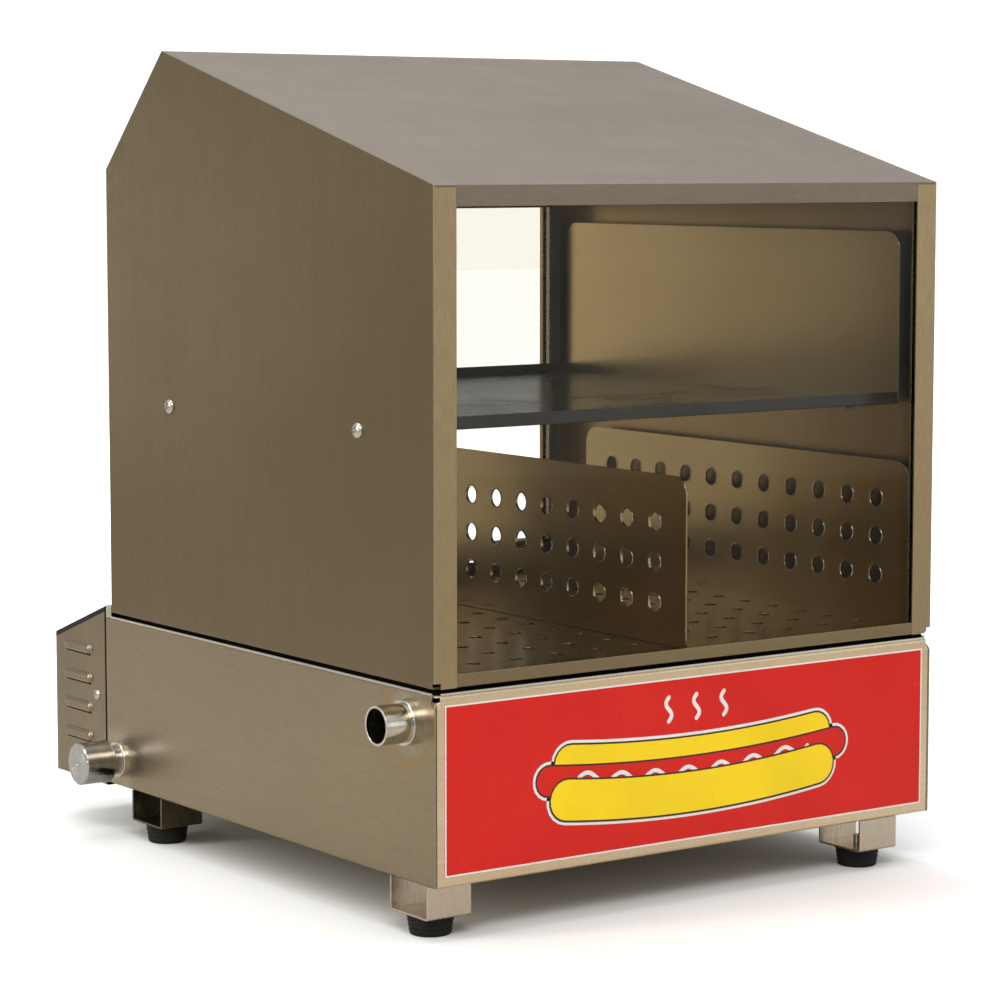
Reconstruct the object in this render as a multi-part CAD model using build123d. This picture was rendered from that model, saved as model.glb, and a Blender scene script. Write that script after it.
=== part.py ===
from build123d import *
import math
import os

# Countertop hot dog steamer: a glass-fronted steel cabinet on a heated water base.
# Working axes: x across the width with 0 at mid-width, y from the front face rearwards,
# z up from the surface it stands on.  Every piece is moved to the final origin on export.

# ---------------------------------------------------------------- driving sizes (mm)
WIDTH = 394.0
SHEET = 1.2
BEND = 1.6
RUN_GAP = 0.3

FOOT_HEIGHT = 12.8
FOOT_TOP_RADIUS = 14.4
FOOT_BOTTOM_RADIUS = 12.5
LEG_HEIGHT = 20.7
LEG_WIDTH = 31.5
LEG_DEPTH = 40.0
FRONT_LEFT_LEG_SETBACK = 8.0
RIGHT_LEG_INSET = 28.0
REAR_LEG_FROM_BACK = 74.0

BASE_HEIGHT = 115.0
BASE_BEHIND_CABINET = 8.0
BASE_CORNER_NOTCH = 4.0
BASE_NOTCH_DEPTH = 7.0
PANEL_JOINT = 0.5
BASE_FLANGE = 14.0
REAR_BAR_GAP = 0.8
REAR_BAR_HEIGHT = 8.5
SEAM = 3.9
SEAM_RECESS = 4.0
SEAM_STRIP = 3.5

CABINET_DEPTH = 392.0
CABINET_FRONT_HEIGHT = 294.6
REAR_OVER_FRONT = 7.8
RIDGE_OVER_FRONT = 84.8
RIDGE_FROM_BACK = 77.5
JAMB = 16.0
HEADER = 12.5
BOTTOM_RAIL = 8.0
REAR_FLANGE = 13.0
CABINET_FOOT_FLANGE = 7.0
REAR_TOP_RAIL = 15.0
REAR_BOTTOM_RAIL = 12.6
CORNER_RELIEF = 4.7
CORNER_RELIEF_HEIGHT = 3.6

GLASS = 4.0
GLASS_TAPE = 0.8
GLASS_LAP = 9.0
GLASS_TOP_GAP = 1.0
STOP_LENGTH = 10.0
STOP_INSET = 2.0

DECAL_SIDE_BORDER = 7.0
DECAL_UNDER_BORDER = 6.2
DECAL_THICKNESS = 0.2
DECAL_UNDER_TOP = 5.8

TANK_SHEET = 1.0
TANK_SIDE_GAP = 7.8
TANK_FLOOR_LIFT = 6.5
TANK_REAR_GAP = 2.8
TANK_CORNER = 6.0
TANK_INNER_CORNER = 5.0

PIPE_FRONT_Y = 26.8
PIPE_UNDER_TOP = 18.6
PIPE_RADIUS = 12.0
PIPE_WALL = 1.5
PIPE_REACH = 23.6
COLLAR_WALL = 2.0
COLLAR_LENGTH = 5.6

DRAIN_REAR_MARGIN = 6.0
DRAIN_FLOOR_MARGIN = 1.0
DRAIN_RADIUS = 10.0
DRAIN_WALL = 2.0
WELD_RING_WALL = 2.3
WELD_RING_LENGTH = 3.0
CAP_WALL = 4.3
CAP_LENGTH = 22.5
CAP_OFFSET = 9.2
CAP_FLOOR = 4.0
CAP_SEAL = 1.5
CAP_CHAMFER = 0.8
RING_ROUND = 1.2
COLLAR_ROUND = 0.8

SHELF_SCREW_ABOVE_BASE = 151.0
SHELF_SCREW_FROM_FRONT = 81.4
SHELF_SCREW_FROM_BACK = 83.2
SHELF_PEG_RADIUS = 2.5
SHELF_PEG_REACH = 19.0
SHELF_HEAD_RADIUS = 5.0
SHELF_HEAD_HEIGHT = 2.8
M5_FLATS = 8.0
SHELF_NUT_HEIGHT = 3.5

TRAY_SHEET = 1.2
TRAY_OUTER_GAP = 9.8
BUN_TRAY_FROM_GLASS = 16.0
BUN_TRAY_FROM_BACK = 7.0
BUN_TRAY_LIP = 8.0
BUN_PLATE_UNDER_FRONT_TOP = 32.2
BUN_PLATE_FOOT_CORNER = 3.0
PLATE_CORNER = 12.0

DOG_TRAY_FROM_GLASS = 4.5
DOG_TRAY_FROM_BACK = 32.0
DOG_FLOOR_LIFT = 8.0
DOG_PLATE_UNDER_SHELF = 34.8
HOLE_RADIUS = 5.75
HOLE_END_MARGIN = 31.25
HOLE_LOWEST = 39.2
HOLE_COUNT = 11
HOLE_ROWS = 3
SIDE_ROW_DROP = 26.0
DIVIDER_ROW_DROP = 30.5
FLOOR_HOLE_RADIUS = 4.5
FLOOR_HOLE_COUNT = 12
DIVIDER_FOOT = 12.0
DIVIDER_FOOT_INSET = 8.0
DIVIDER_OVER_PLATE = 0.8

DOOR_SIDE_GAP = 9.0
DOOR_THICKNESS = 12.0
DOOR_GAP = 1.0
DOOR_FRAME = 12.0
HANDLE_STILE = 30.0
HANDLE_FROM_OPENING = 10.0
DOOR_GROOVE = 5.0
GROOVE_SLACK = 0.2
DOOR_HEAD_GAP = 17.0
DOOR_SILL_GAP = 13.6
PIVOT_INSET = 3.5
PIVOT_RADIUS = 2.5
PIVOT_FIT = 0.05
PIVOT_REACH = 9.0
BRACKET_SHEET = 2.0
BRACKET_INSIDE = 9.0
BRACKET_OUTSIDE = 1.5
HANDLE_REACH = 22.0
HANDLE_ROD = 4.0
HANDLE_SPAN = 96.0
HANDLE_BEND = 10.0
WASHER_RADIUS = 5.8
WASHER_THICKNESS = 1.2
GASKET_WIDTH = 7.0
GASKET_INSET = 2.0
CATCH_HALF = 18.0
CATCH_DEPTH = 7.0
CATCH_HEIGHT = 9.0
CATCH_PLATE_HEIGHT = 7.0

BOX_DEPTH = 74.0
BOX_UNDER_BAR_TOP = 0.5
BOX_SLOPE_DROP = 26.5
BOX_LID_EDGE = 3.7
BOX_SEAL = 2.4
BOX_SEAL_WIDTH = 3.0
BOX_DROP = 2.0
LOUVRE_COUNT = 4
LOUVRE_PITCH = 20.4
LOUVRE_LENGTH = 40.0
LOUVRE_HEIGHT = 8.5
LOUVRE_REACH = 2.7
LOUVRE_FIRST_DROP = 7.0
LOUVRE_FROM_BACK = 13.0
LOUVRE_SLIT = 1.4
LOUVRE_END = 2.0
BOX_SCREW_FROM_FRONT = 14.0
BOX_SCREW_OVER_FLOOR = 14.0
BOX_SCREW_OVER_PANEL = 12.0
BOX_SCREW_RADIUS = 2.0
BOX_SCREW_HEAD = 3.8
BOX_SCREW_HEAD_HEIGHT = 2.2
BOX_SCREW_SPARE = 3.0

KNOB_RADIUS = 17.0
KNOB_LENGTH = 20.0
KNOB_X = 70.0
KNOB_SHAFT_RADIUS = 3.0
KNOB_FLUTES = 12
KNOB_FLUTE_RADIUS = 4.0
SHAFT_FIT = 0.05
ROCKER_X = 0.0
ROCKER_WIDTH = 13.0
ROCKER_HEIGHT = 19.0
LAMP_X = -50.0
GLAND_X = -120.0
GLAND_RADIUS = 9.0
GLAND_REACH = 18.0
GLAND_BORE = 3.6
TERMINAL_COUNT = 5
TERMINAL_PITCH = 12.0
TERMINAL_HEIGHT = 18.0
TERMINAL_DEPTH = 14.0
TERMINAL_UNDER_TOP = 19.0
SHAFT_REACH = 14.0
LAMP_RADIUS = 6.0
ROCKER_TILT = 8.0
ROCKER_PIVOT_DEPTH = 2.0
ROCKER_PIVOT_RADIUS = 1.2
DIAL_BORDER = 12.0
DIAL_GAP = 1.0
DIAL_THICKNESS = 0.5

FOOT_SCREW_RADIUS = 2.5
FOOT_RECESS = 6.0
FOOT_RECESS_RADIUS = 5.5
FOOT_SCREW_HEAD = 4.5
FOOT_SCREW_HEAD_HEIGHT = 3.0
FOOT_NUT_HEIGHT = 4.0

ELEMENT_X = (-50.0, 50.0)
ELEMENT_RADIUS = 4.0
ELEMENT_LIFT = 22.0
ELEMENT_FRONT = 90.0
ELEMENT_PLATE = 2.0
ELEMENT_PLATE_MARGIN = 14.0
STUD_RADIUS = 3.0
STUD_REACH = 14.0
STUD_CLEARANCE = 1.5
BULB_X = 110.0
BULB_RADIUS = 4.0
BULB_LENGTH = 90.0
BULB_NECK_RADIUS = 1.5
BULB_GLAND_RADIUS = 6.0

# ---------------------------------------------------------------- derived places
HALF = WIDTH / 2
INNER = HALF - SHEET
LEG_TOP = FOOT_HEIGHT + LEG_HEIGHT
BASE_TOP = LEG_TOP + BASE_HEIGHT
BASE_DEPTH = CABINET_DEPTH + BASE_BEHIND_CABINET
REAR_LEG_Y = BASE_DEPTH - REAR_LEG_FROM_BACK
CAB_FLOOR = BASE_TOP + SEAM
FRONT_TOP = CAB_FLOOR + CABINET_FRONT_HEIGHT
REAR_TOP = FRONT_TOP + REAR_OVER_FRONT
RIDGE_TOP = FRONT_TOP + RIDGE_OVER_FRONT
RIDGE_Y = CABINET_DEPTH - RIDGE_FROM_BACK
ROOF_SLOPE = math.atan2(RIDGE_TOP - FRONT_TOP, RIDGE_Y)
ROOF_DROP = SHEET / math.cos(ROOF_SLOPE)
JAMB_EDGE = HALF - JAMB
REAR_EDGE = HALF - REAR_FLANGE
REAR_FACE = CABINET_DEPTH
GLASS_FRONT = SHEET + GLASS_TAPE
GLASS_BACK = GLASS_FRONT + GLASS
FLANGE_EDGE = HALF - BASE_FLANGE
GLASS_TOP = FRONT_TOP - ROOF_DROP - GLASS_TOP_GAP
GLASS_LOW = CAB_FLOOR + SHEET + GLASS_TOP_GAP
DECAL_EDGE = HALF - DECAL_SIDE_BORDER
DECAL_TOP = BASE_TOP - DECAL_UNDER_TOP
DECAL_LOW = LEG_TOP + DECAL_UNDER_BORDER

TANK_HALF = INNER - TANK_SIDE_GAP
TANK_FLOOR = LEG_TOP + TANK_FLOOR_LIFT
TANK_TOP = BASE_TOP - SHEET
TANK_FRONT = SHEET + TANK_SIDE_GAP
TANK_REAR = BASE_DEPTH - SHEET - TANK_REAR_GAP
ELEMENT_Z = TANK_FLOOR + TANK_SHEET + ELEMENT_LIFT
BULB_Z = ELEMENT_Z

PIPE_Z = BASE_TOP - PIPE_UNDER_TOP
COLLAR_RADIUS = PIPE_RADIUS + COLLAR_WALL
WELD_RING_RADIUS = DRAIN_RADIUS + WELD_RING_WALL
CAP_RADIUS = DRAIN_RADIUS + CAP_WALL
DRAIN_Y = BASE_DEPTH - DRAIN_RADIUS - DRAIN_REAR_MARGIN
DRAIN_Z = TANK_FLOOR + TANK_SHEET + DRAIN_RADIUS + DRAIN_FLOOR_MARGIN
CAP_MOUTH = -HALF - CAP_OFFSET
CAP_END = CAP_MOUTH - CAP_LENGTH
CAP_INSIDE = CAP_END + CAP_FLOOR
DRAIN_END = CAP_INSIDE + CAP_SEAL

PEG_Z = BASE_TOP + SHELF_SCREW_ABOVE_BASE
SHELF_SCREW_Y = (SHELF_SCREW_FROM_FRONT, CABINET_DEPTH - SHELF_SCREW_FROM_BACK)
BUN_FLOOR = PEG_Z + SHELF_PEG_RADIUS + RUN_GAP
TRAY_OUT = HALF - TRAY_OUTER_GAP
TRAY_IN = TRAY_OUT - TRAY_SHEET
BUN_TRAY_FRONT = GLASS_BACK + BUN_TRAY_FROM_GLASS
BUN_TRAY_BACK = CABINET_DEPTH - BUN_TRAY_FROM_BACK
DOG_TRAY_FRONT = GLASS_BACK + DOG_TRAY_FROM_GLASS
DOG_TRAY_BACK = CABINET_DEPTH - DOG_TRAY_FROM_BACK
BUN_PLATE_TOP = FRONT_TOP - BUN_PLATE_UNDER_FRONT_TOP
DOG_REST = BASE_TOP + RUN_GAP
DOG_FLOOR = BASE_TOP + DOG_FLOOR_LIFT
DOG_PLATE_TOP = PEG_Z - DOG_PLATE_UNDER_SHELF
HOLE_PITCH = (DOG_TRAY_BACK - DOG_TRAY_FRONT - 2 * HOLE_END_MARGIN) / (HOLE_COUNT - 1)
HOLE_ROW_PITCH = (DOG_PLATE_TOP - SIDE_ROW_DROP - BASE_TOP - HOLE_LOWEST) / (HOLE_ROWS - 1)
TRAY_MIDDLE = (DOG_TRAY_FRONT + DOG_TRAY_BACK) / 2

DOOR_FRONT = REAR_FACE + DOOR_GAP
DOOR_BACK = DOOR_FRONT + DOOR_THICKNESS
DOOR_EDGE = HALF - DOOR_SIDE_GAP
DOOR_SILL = CAB_FLOOR + DOOR_SILL_GAP
DOOR_HEAD = REAR_TOP - DOOR_HEAD_GAP
DOOR_GLASS_FRONT = DOOR_FRONT + (DOOR_THICKNESS - GLASS) / 2
HANDLE_X = -DOOR_EDGE + HANDLE_STILE - HANDLE_FROM_OPENING
PIVOT_X = DOOR_EDGE - PIVOT_INSET
PIVOT_Y = DOOR_FRONT + DOOR_THICKNESS * 0.58
HANDLE_Z = (DOOR_SILL + DOOR_HEAD) / 2

BOX_FRONT = BASE_DEPTH
BOX_BACK = BASE_DEPTH + BOX_DEPTH
BOX_FLOOR = LEG_TOP - BOX_DROP
BOX_FRONT_TOP = BASE_TOP + REAR_BAR_HEIGHT - BOX_UNDER_BAR_TOP
BOX_BACK_TOP = BOX_FRONT_TOP - BOX_SLOPE_DROP
PANEL_Z = (BOX_FLOOR + BOX_BACK_TOP) / 2
KNOB_START = BOX_BACK + DIAL_GAP
KNOB_BACK = KNOB_START + KNOB_LENGTH
PANEL_HOLES = ((KNOB_X, KNOB_SHAFT_RADIUS + 1), (LAMP_X, LAMP_RADIUS), (GLAND_X, GLAND_RADIUS - 2))

ORIGIN_X = (HALF + CAP_END) / 2
ORIGIN_Y = (KNOB_BACK - DECAL_THICKNESS) / 2


# ---------------------------------------------------------------- helpers
def block(x0, x1, y0, y1, z0, z1):
    """Box between two corners."""
    middle = ((x0 + x1) / 2, (y0 + y1) / 2, (z0 + z1) / 2)
    return Pos(*middle) * Box(abs(x1 - x0), abs(y1 - y0), abs(z1 - z0))


def rod(start, end, radius):
    """Round bar from one point to another."""
    span = Vector(*end) - Vector(*start)
    place = Plane(origin=start, z_dir=span)
    return extrude(place * Circle(radius), span.length)


def tube(start, end, radius, bore):
    return rod(start, end, radius) - rod(start, end, bore)


def side_plate(points, x0, thickness):
    """Flat plate in the y-z plane, from x0 towards +x."""
    face = make_face(Plane.YZ.offset(x0) * Polyline(*points, close=True))
    return extrude(face, thickness, dir=(1, 0, 0))


def round_edges(shape, axis, places, radius):
    """Round the edges parallel to an axis that pass through the given places.

    A place gives the two other coordinates in x, y, z order.
    """
    keep = {Axis.X: ("Y", "Z"), Axis.Y: ("X", "Z"), Axis.Z: ("X", "Y")}[axis]
    chosen = []
    for edge in shape.edges().filter_by(axis):
        middle = edge.center()
        spot = [getattr(middle, name) for name in keep]
        for place in places:
            if abs(spot[0] - place[0]) < 0.02 and abs(spot[1] - place[1]) < 0.02:
                chosen.append(edge)
    return fillet(chosen, radius)


def mirrored(shape):
    return mirror(shape, about=Plane.YZ)


def pan_screw(shank_radius, shank_length, head_radius, head_height):
    """Pan-head screw along z: the head stands on z = 0 and the shank hangs below it."""
    head = extrude(Circle(head_radius), head_height)
    head = fillet(head.edges().sort_by(Axis.Z)[-1], head_height * 0.7)
    slot_width = head_radius * 0.3
    slot_depth = head_height * 0.5
    slot_length = head_radius * 1.2
    slot = Box(slot_length, slot_width, slot_depth * 2) + Box(slot_width, slot_length, slot_depth * 2)
    shank = extrude(Circle(shank_radius), -shank_length)
    return head - Pos(0, 0, head_height) * slot + shank


def hex_nut(across_flats, bore, height):
    outer = RegularPolygon(across_flats / 2, 6, major_radius=False)
    return extrude(outer - Circle(bore), height)


def placed(shape, origin, direction):
    return Plane(origin=origin, z_dir=direction).location * shape


def perforated(plate_points, x0, thickness, row_drop, rows):
    """Tray plate with a grid of steam holes, row_drop below its top edge."""
    top = max(point[1] for point in plate_points)
    plate = side_plate(plate_points, x0, thickness)
    corners = [(DOG_TRAY_FRONT, top), (DOG_TRAY_BACK, top)]
    plate = round_edges(plate, Axis.X, corners, PLATE_CORNER)
    first = TRAY_MIDDLE - HOLE_PITCH * (HOLE_COUNT - 1) / 2
    for row in range(rows):
        for column in range(HOLE_COUNT):
            y = first + column * HOLE_PITCH
            z = top - row_drop - row * HOLE_ROW_PITCH
            plate -= rod((x0 - 1, y, z), (x0 + thickness + 1, y, z), HOLE_RADIUS)
    return plate


# ---------------------------------------------------------------- base
def corner_notch():
    """V relief cut where the front, side and top folds meet at the right front corner."""
    low = BASE_TOP - BASE_NOTCH_DEPTH
    reach = BASE_CORNER_NOTCH
    high = BASE_TOP + reach
    across = Plane.XZ * Polyline((HALF + reach, high), (HALF, low), (HALF - reach, high), close=True)
    along = Plane.YZ * Polyline((-reach, high), (0, low), (reach, high), close=True)
    front_cut = extrude(make_face(across), reach, both=True)
    side_cut = Pos(HALF, 0, 0) * extrude(make_face(along), reach, both=True)
    return [front_cut, side_cut]


def base_front_panel():
    """Front sheet between the side sheets, with its top and bottom edges folded back."""
    edge = INNER - PANEL_JOINT
    web = block(-edge, edge, 0, SHEET, LEG_TOP, BASE_TOP)
    top = block(-edge, edge, 0, BASE_FLANGE, BASE_TOP - SHEET, BASE_TOP)
    bottom = block(-edge, edge, 0, BASE_FLANGE, LEG_TOP, LEG_TOP + SHEET)
    panel = round_edges(web + top + bottom, Axis.X, [(0, BASE_TOP), (0, LEG_TOP)], BEND)
    for cut in corner_notch():
        panel = panel - cut - mirrored(cut)
    return panel


def base_side_panel():
    """Right side sheet, wrapping the front corner, with folded edges."""
    back = BASE_DEPTH - SHEET
    web = block(INNER, HALF, 0, back, LEG_TOP, BASE_TOP)
    top = block(FLANGE_EDGE, HALF, BASE_FLANGE, back - BASE_FLANGE, BASE_TOP - SHEET, BASE_TOP)
    bottom = block(FLANGE_EDGE, HALF, BASE_FLANGE, back - BASE_FLANGE, LEG_TOP, LEG_TOP + SHEET)
    panel = round_edges(web + top + bottom, Axis.Y, [(HALF, BASE_TOP), (HALF, LEG_TOP)], BEND)
    for cut in corner_notch():
        panel -= cut
    return panel


def base_left_panel():
    """Left side sheet with holes for the fill and drain pipes."""
    panel = mirrored(base_side_panel())
    panel -= rod((-HALF - 1, PIPE_FRONT_Y, PIPE_Z), (-INNER + 1, PIPE_FRONT_Y, PIPE_Z), PIPE_RADIUS)
    panel -= rod((-HALF - 1, DRAIN_Y, DRAIN_Z), (-INNER + 1, DRAIN_Y, DRAIN_Z), DRAIN_RADIUS)
    return panel


def base_rear_panel():
    """Rear sheet with folded edges and the holes behind the control box."""
    back = BASE_DEPTH - SHEET
    front = back - BASE_FLANGE
    web = block(-HALF, HALF, back, BASE_DEPTH, LEG_TOP, BASE_TOP)
    top = block(-INNER, INNER, front, BASE_DEPTH, BASE_TOP - SHEET, BASE_TOP)
    bottom = block(-INNER, INNER, front, BASE_DEPTH, LEG_TOP, LEG_TOP + SHEET)
    panel = web + top + bottom
    for x in ELEMENT_X:
        panel -= rod((x, back - 1, ELEMENT_Z), (x, BASE_DEPTH + 1, ELEMENT_Z), STUD_RADIUS + STUD_CLEARANCE)
    panel -= rod((BULB_X, back - 1, BULB_Z), (BULB_X, BASE_DEPTH + 1, BULB_Z), BULB_GLAND_RADIUS)
    return panel


def base_bottom_plate():
    """Flat closing plate on the inside of the folded bottom edges."""
    x = INNER - 1.0
    return block(-x, x, SHEET + 1, BASE_DEPTH - SHEET - 1, LEG_TOP + SHEET, LEG_TOP + 2 * SHEET)


def rear_locating_bar():
    """Bar on the base's rear edge that the cabinet stands against."""
    front = CABINET_DEPTH + REAR_BAR_GAP
    bar = block(-HALF, HALF, front, BASE_DEPTH, BASE_TOP, BASE_TOP + REAR_BAR_HEIGHT)
    return fillet(bar.edges().group_by(Axis.Z)[-1], 0.8)


def front_decal():
    """Printed panel on the front of the base."""
    return block(-DECAL_EDGE, DECAL_EDGE, -DECAL_THICKNESS, 0, DECAL_LOW, DECAL_TOP)


def leg(x0, y0):
    """Channel folded from sheet, open at its ends and against the base."""
    x1 = x0 + LEG_WIDTH
    y1 = y0 + LEG_DEPTH
    outer = block(x0, x1, y0, y1, FOOT_HEIGHT, LEG_TOP)
    outer = round_edges(outer, Axis.X, [(y0, FOOT_HEIGHT), (y1, FOOT_HEIGHT)], BEND)
    hollow = block(x0 - 1, x1 + 1, y0 + SHEET, y1 - SHEET, FOOT_HEIGHT + SHEET, LEG_TOP + 1)
    middle_x = (x0 + x1) / 2
    middle_y = (y0 + y1) / 2
    hole_low = (middle_x, middle_y, FOOT_HEIGHT - 1)
    hole_high = (middle_x, middle_y, FOOT_HEIGHT + SHEET + 1)
    return outer - hollow - rod(hole_low, hole_high, FOOT_SCREW_RADIUS)


LEG_PLACES = {
    "leg_front_left": (-HALF, FRONT_LEFT_LEG_SETBACK),
    "leg_front_right": (HALF - RIGHT_LEG_INSET - LEG_WIDTH, 0.0),
    "leg_rear_left": (-HALF, REAR_LEG_Y),
    "leg_rear_right": (HALF - RIGHT_LEG_INSET - LEG_WIDTH, REAR_LEG_Y),
}


def leg_centres():
    return [(x + LEG_WIDTH / 2, y + LEG_DEPTH / 2) for x, y in LEG_PLACES.values()]


def rubber_foot(x, y):
    """Tapered rubber foot with a recess for its screw's head."""
    low = Plane.XY * Circle(FOOT_BOTTOM_RADIUS)
    high = Plane.XY.offset(FOOT_HEIGHT) * Circle(FOOT_TOP_RADIUS)
    foot = loft([low, high])
    foot = fillet(foot.edges().sort_by(Axis.Z)[0], 1.0)
    foot -= extrude(Circle(FOOT_RECESS_RADIUS), FOOT_RECESS)
    foot -= extrude(Circle(FOOT_SCREW_RADIUS), FOOT_HEIGHT)
    return Pos(x, y, 0) * foot


def foot_screw(x, y):
    """Screw through the foot and the leg's floor, with its nut above."""
    length = FOOT_HEIGHT + SHEET + FOOT_NUT_HEIGHT + 2.0 - FOOT_RECESS
    head = pan_screw(FOOT_SCREW_RADIUS, length, FOOT_SCREW_HEAD, FOOT_SCREW_HEAD_HEIGHT)
    screw = placed(head, (x, y, FOOT_RECESS), (0, 0, -1))
    nut = Pos(x, y, FOOT_HEIGHT + SHEET) * hex_nut(M5_FLATS, FOOT_SCREW_RADIUS, FOOT_NUT_HEIGHT)
    return screw + nut


def seam_gasket():
    """Silicone strip loop between the base and the cabinet, set back from the faces."""
    top = BASE_TOP + SEAM
    out_x = HALF - SEAM_RECESS
    front = SEAM_RECESS
    back = CABINET_DEPTH - SEAM_RECESS
    outer = block(-out_x, out_x, front, back, BASE_TOP, top)
    strip = SEAM_STRIP
    inner = block(-out_x + strip, out_x - strip, front + strip, back - strip, BASE_TOP - 1, top + 1)
    return outer - inner


# ---------------------------------------------------------------- water, heat and drain
def water_tank():
    """Open tank welded to the underside of the base's folded top edges."""
    outer = block(-TANK_HALF, TANK_HALF, TANK_FRONT, TANK_REAR, TANK_FLOOR, TANK_TOP)
    wall = TANK_SHEET
    half = TANK_HALF - wall
    inner = block(-half, half, TANK_FRONT + wall, TANK_REAR - wall, TANK_FLOOR + wall, TANK_TOP + 1)
    inner = fillet(inner.edges().filter_by(Axis.Z), TANK_INNER_CORNER)
    tank = fillet(outer.edges().filter_by(Axis.Z), TANK_CORNER) - inner
    left = -TANK_HALF
    tank -= rod((left - 1, PIPE_FRONT_Y, PIPE_Z), (left + 2, PIPE_FRONT_Y, PIPE_Z), PIPE_RADIUS)
    tank -= rod((left - 1, DRAIN_Y, DRAIN_Z), (left + 2, DRAIN_Y, DRAIN_Z), DRAIN_RADIUS)
    for x in ELEMENT_X:
        tank -= rod((x, TANK_REAR - 2, ELEMENT_Z), (x, TANK_REAR + 1, ELEMENT_Z), STUD_RADIUS)
    tank -= rod((BULB_X, TANK_REAR - 2, BULB_Z), (BULB_X, TANK_REAR + 1, BULB_Z), BULB_RADIUS)
    return tank


def heating_element():
    """Immersion heater: one round tube bent into a long loop above the tank floor."""
    turn = ELEMENT_X[1]
    back = TANK_REAR - TANK_SHEET - ELEMENT_PLATE
    start = (ELEMENT_X[0], back, ELEMENT_Z)
    arc_start = (ELEMENT_X[0], ELEMENT_FRONT + turn, ELEMENT_Z)
    arc_middle = (0, ELEMENT_FRONT, ELEMENT_Z)
    arc_end = (ELEMENT_X[1], ELEMENT_FRONT + turn, ELEMENT_Z)
    end = (ELEMENT_X[1], back, ELEMENT_Z)
    path = Wire([Line(start, arc_start), ThreePointArc(arc_start, arc_middle, arc_end), Line(arc_end, end)])
    section = Plane(origin=start, z_dir=(0, -1, 0)) * Circle(ELEMENT_RADIUS)
    return sweep(section, path=path)


def element_flange():
    """Mounting plate inside the tank's rear wall, with the two terminal studs through both walls."""
    margin = ELEMENT_PLATE_MARGIN
    half_width = ELEMENT_X[1] + margin
    back = TANK_REAR - TANK_SHEET
    plate = block(-half_width, half_width, back - ELEMENT_PLATE, back, ELEMENT_Z - margin, ELEMENT_Z + margin)
    corners = [(s * half_width, ELEMENT_Z + t * margin) for s in (-1, 1) for t in (-1, 1)]
    plate = round_edges(plate, Axis.Y, corners, margin * 0.6)
    for x in ELEMENT_X:
        plate += rod((x, back, ELEMENT_Z), (x, BASE_DEPTH + STUD_REACH, ELEMENT_Z), STUD_RADIUS)
    return plate


def fill_pipe():
    start = (-HALF - PIPE_REACH, PIPE_FRONT_Y, PIPE_Z)
    end = (-TANK_HALF + TANK_SHEET, PIPE_FRONT_Y, PIPE_Z)
    return tube(start, end, PIPE_RADIUS, PIPE_RADIUS - PIPE_WALL)


def fill_collar():
    start = (-HALF - COLLAR_LENGTH, PIPE_FRONT_Y, PIPE_Z)
    collar = tube(start, (-HALF, PIPE_FRONT_Y, PIPE_Z), COLLAR_RADIUS, PIPE_RADIUS)
    rim = collar.edges().filter_by(GeomType.CIRCLE).sort_by(Axis.X)[:2].sort_by(SortBy.RADIUS)[-1]
    return fillet(rim, COLLAR_ROUND)


def drain_pipe():
    start = (DRAIN_END, DRAIN_Y, DRAIN_Z)
    end = (-TANK_HALF + TANK_SHEET, DRAIN_Y, DRAIN_Z)
    return tube(start, end, DRAIN_RADIUS, DRAIN_RADIUS - DRAIN_WALL)


def drain_weld_ring():
    start = (-HALF - WELD_RING_LENGTH, DRAIN_Y, DRAIN_Z)
    ring = tube(start, (-HALF, DRAIN_Y, DRAIN_Z), WELD_RING_RADIUS, DRAIN_RADIUS)
    rim = ring.edges().filter_by(GeomType.CIRCLE).sort_by(Axis.X)[:2].sort_by(SortBy.RADIUS)[-1]
    return fillet(rim, RING_ROUND)


def drain_cap():
    """Turned screw cap over the drain pipe's outer end."""
    cap = rod((CAP_END, DRAIN_Y, DRAIN_Z), (CAP_MOUTH, DRAIN_Y, DRAIN_Z), CAP_RADIUS)
    cap = chamfer(cap.edges().filter_by(GeomType.CIRCLE), CAP_CHAMFER)
    bore = DRAIN_RADIUS + RUN_GAP
    cap -= rod((CAP_INSIDE, DRAIN_Y, DRAIN_Z), (CAP_MOUTH + 1, DRAIN_Y, DRAIN_Z), bore)
    dimple = Cone(1.6, 0.2, 0.8, align=(Align.CENTER, Align.CENTER, Align.MIN))
    return cap - placed(dimple, (CAP_END, DRAIN_Y, DRAIN_Z), (1, 0, 0))


def drain_cap_seal():
    """Rubber washer in the bottom of the cap."""
    start = (CAP_INSIDE, DRAIN_Y, DRAIN_Z)
    end = (CAP_INSIDE + CAP_SEAL - 0.1, DRAIN_Y, DRAIN_Z)
    return tube(start, end, DRAIN_RADIUS, DRAIN_RADIUS - DRAIN_WALL - 1)


# ---------------------------------------------------------------- cabinet
def cabinet_outline():
    return [
        (0, CAB_FLOOR),
        (0, FRONT_TOP),
        (RIDGE_Y, RIDGE_TOP),
        (CABINET_DEPTH, REAR_TOP),
        (CABINET_DEPTH, CAB_FLOOR),
    ]


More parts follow.
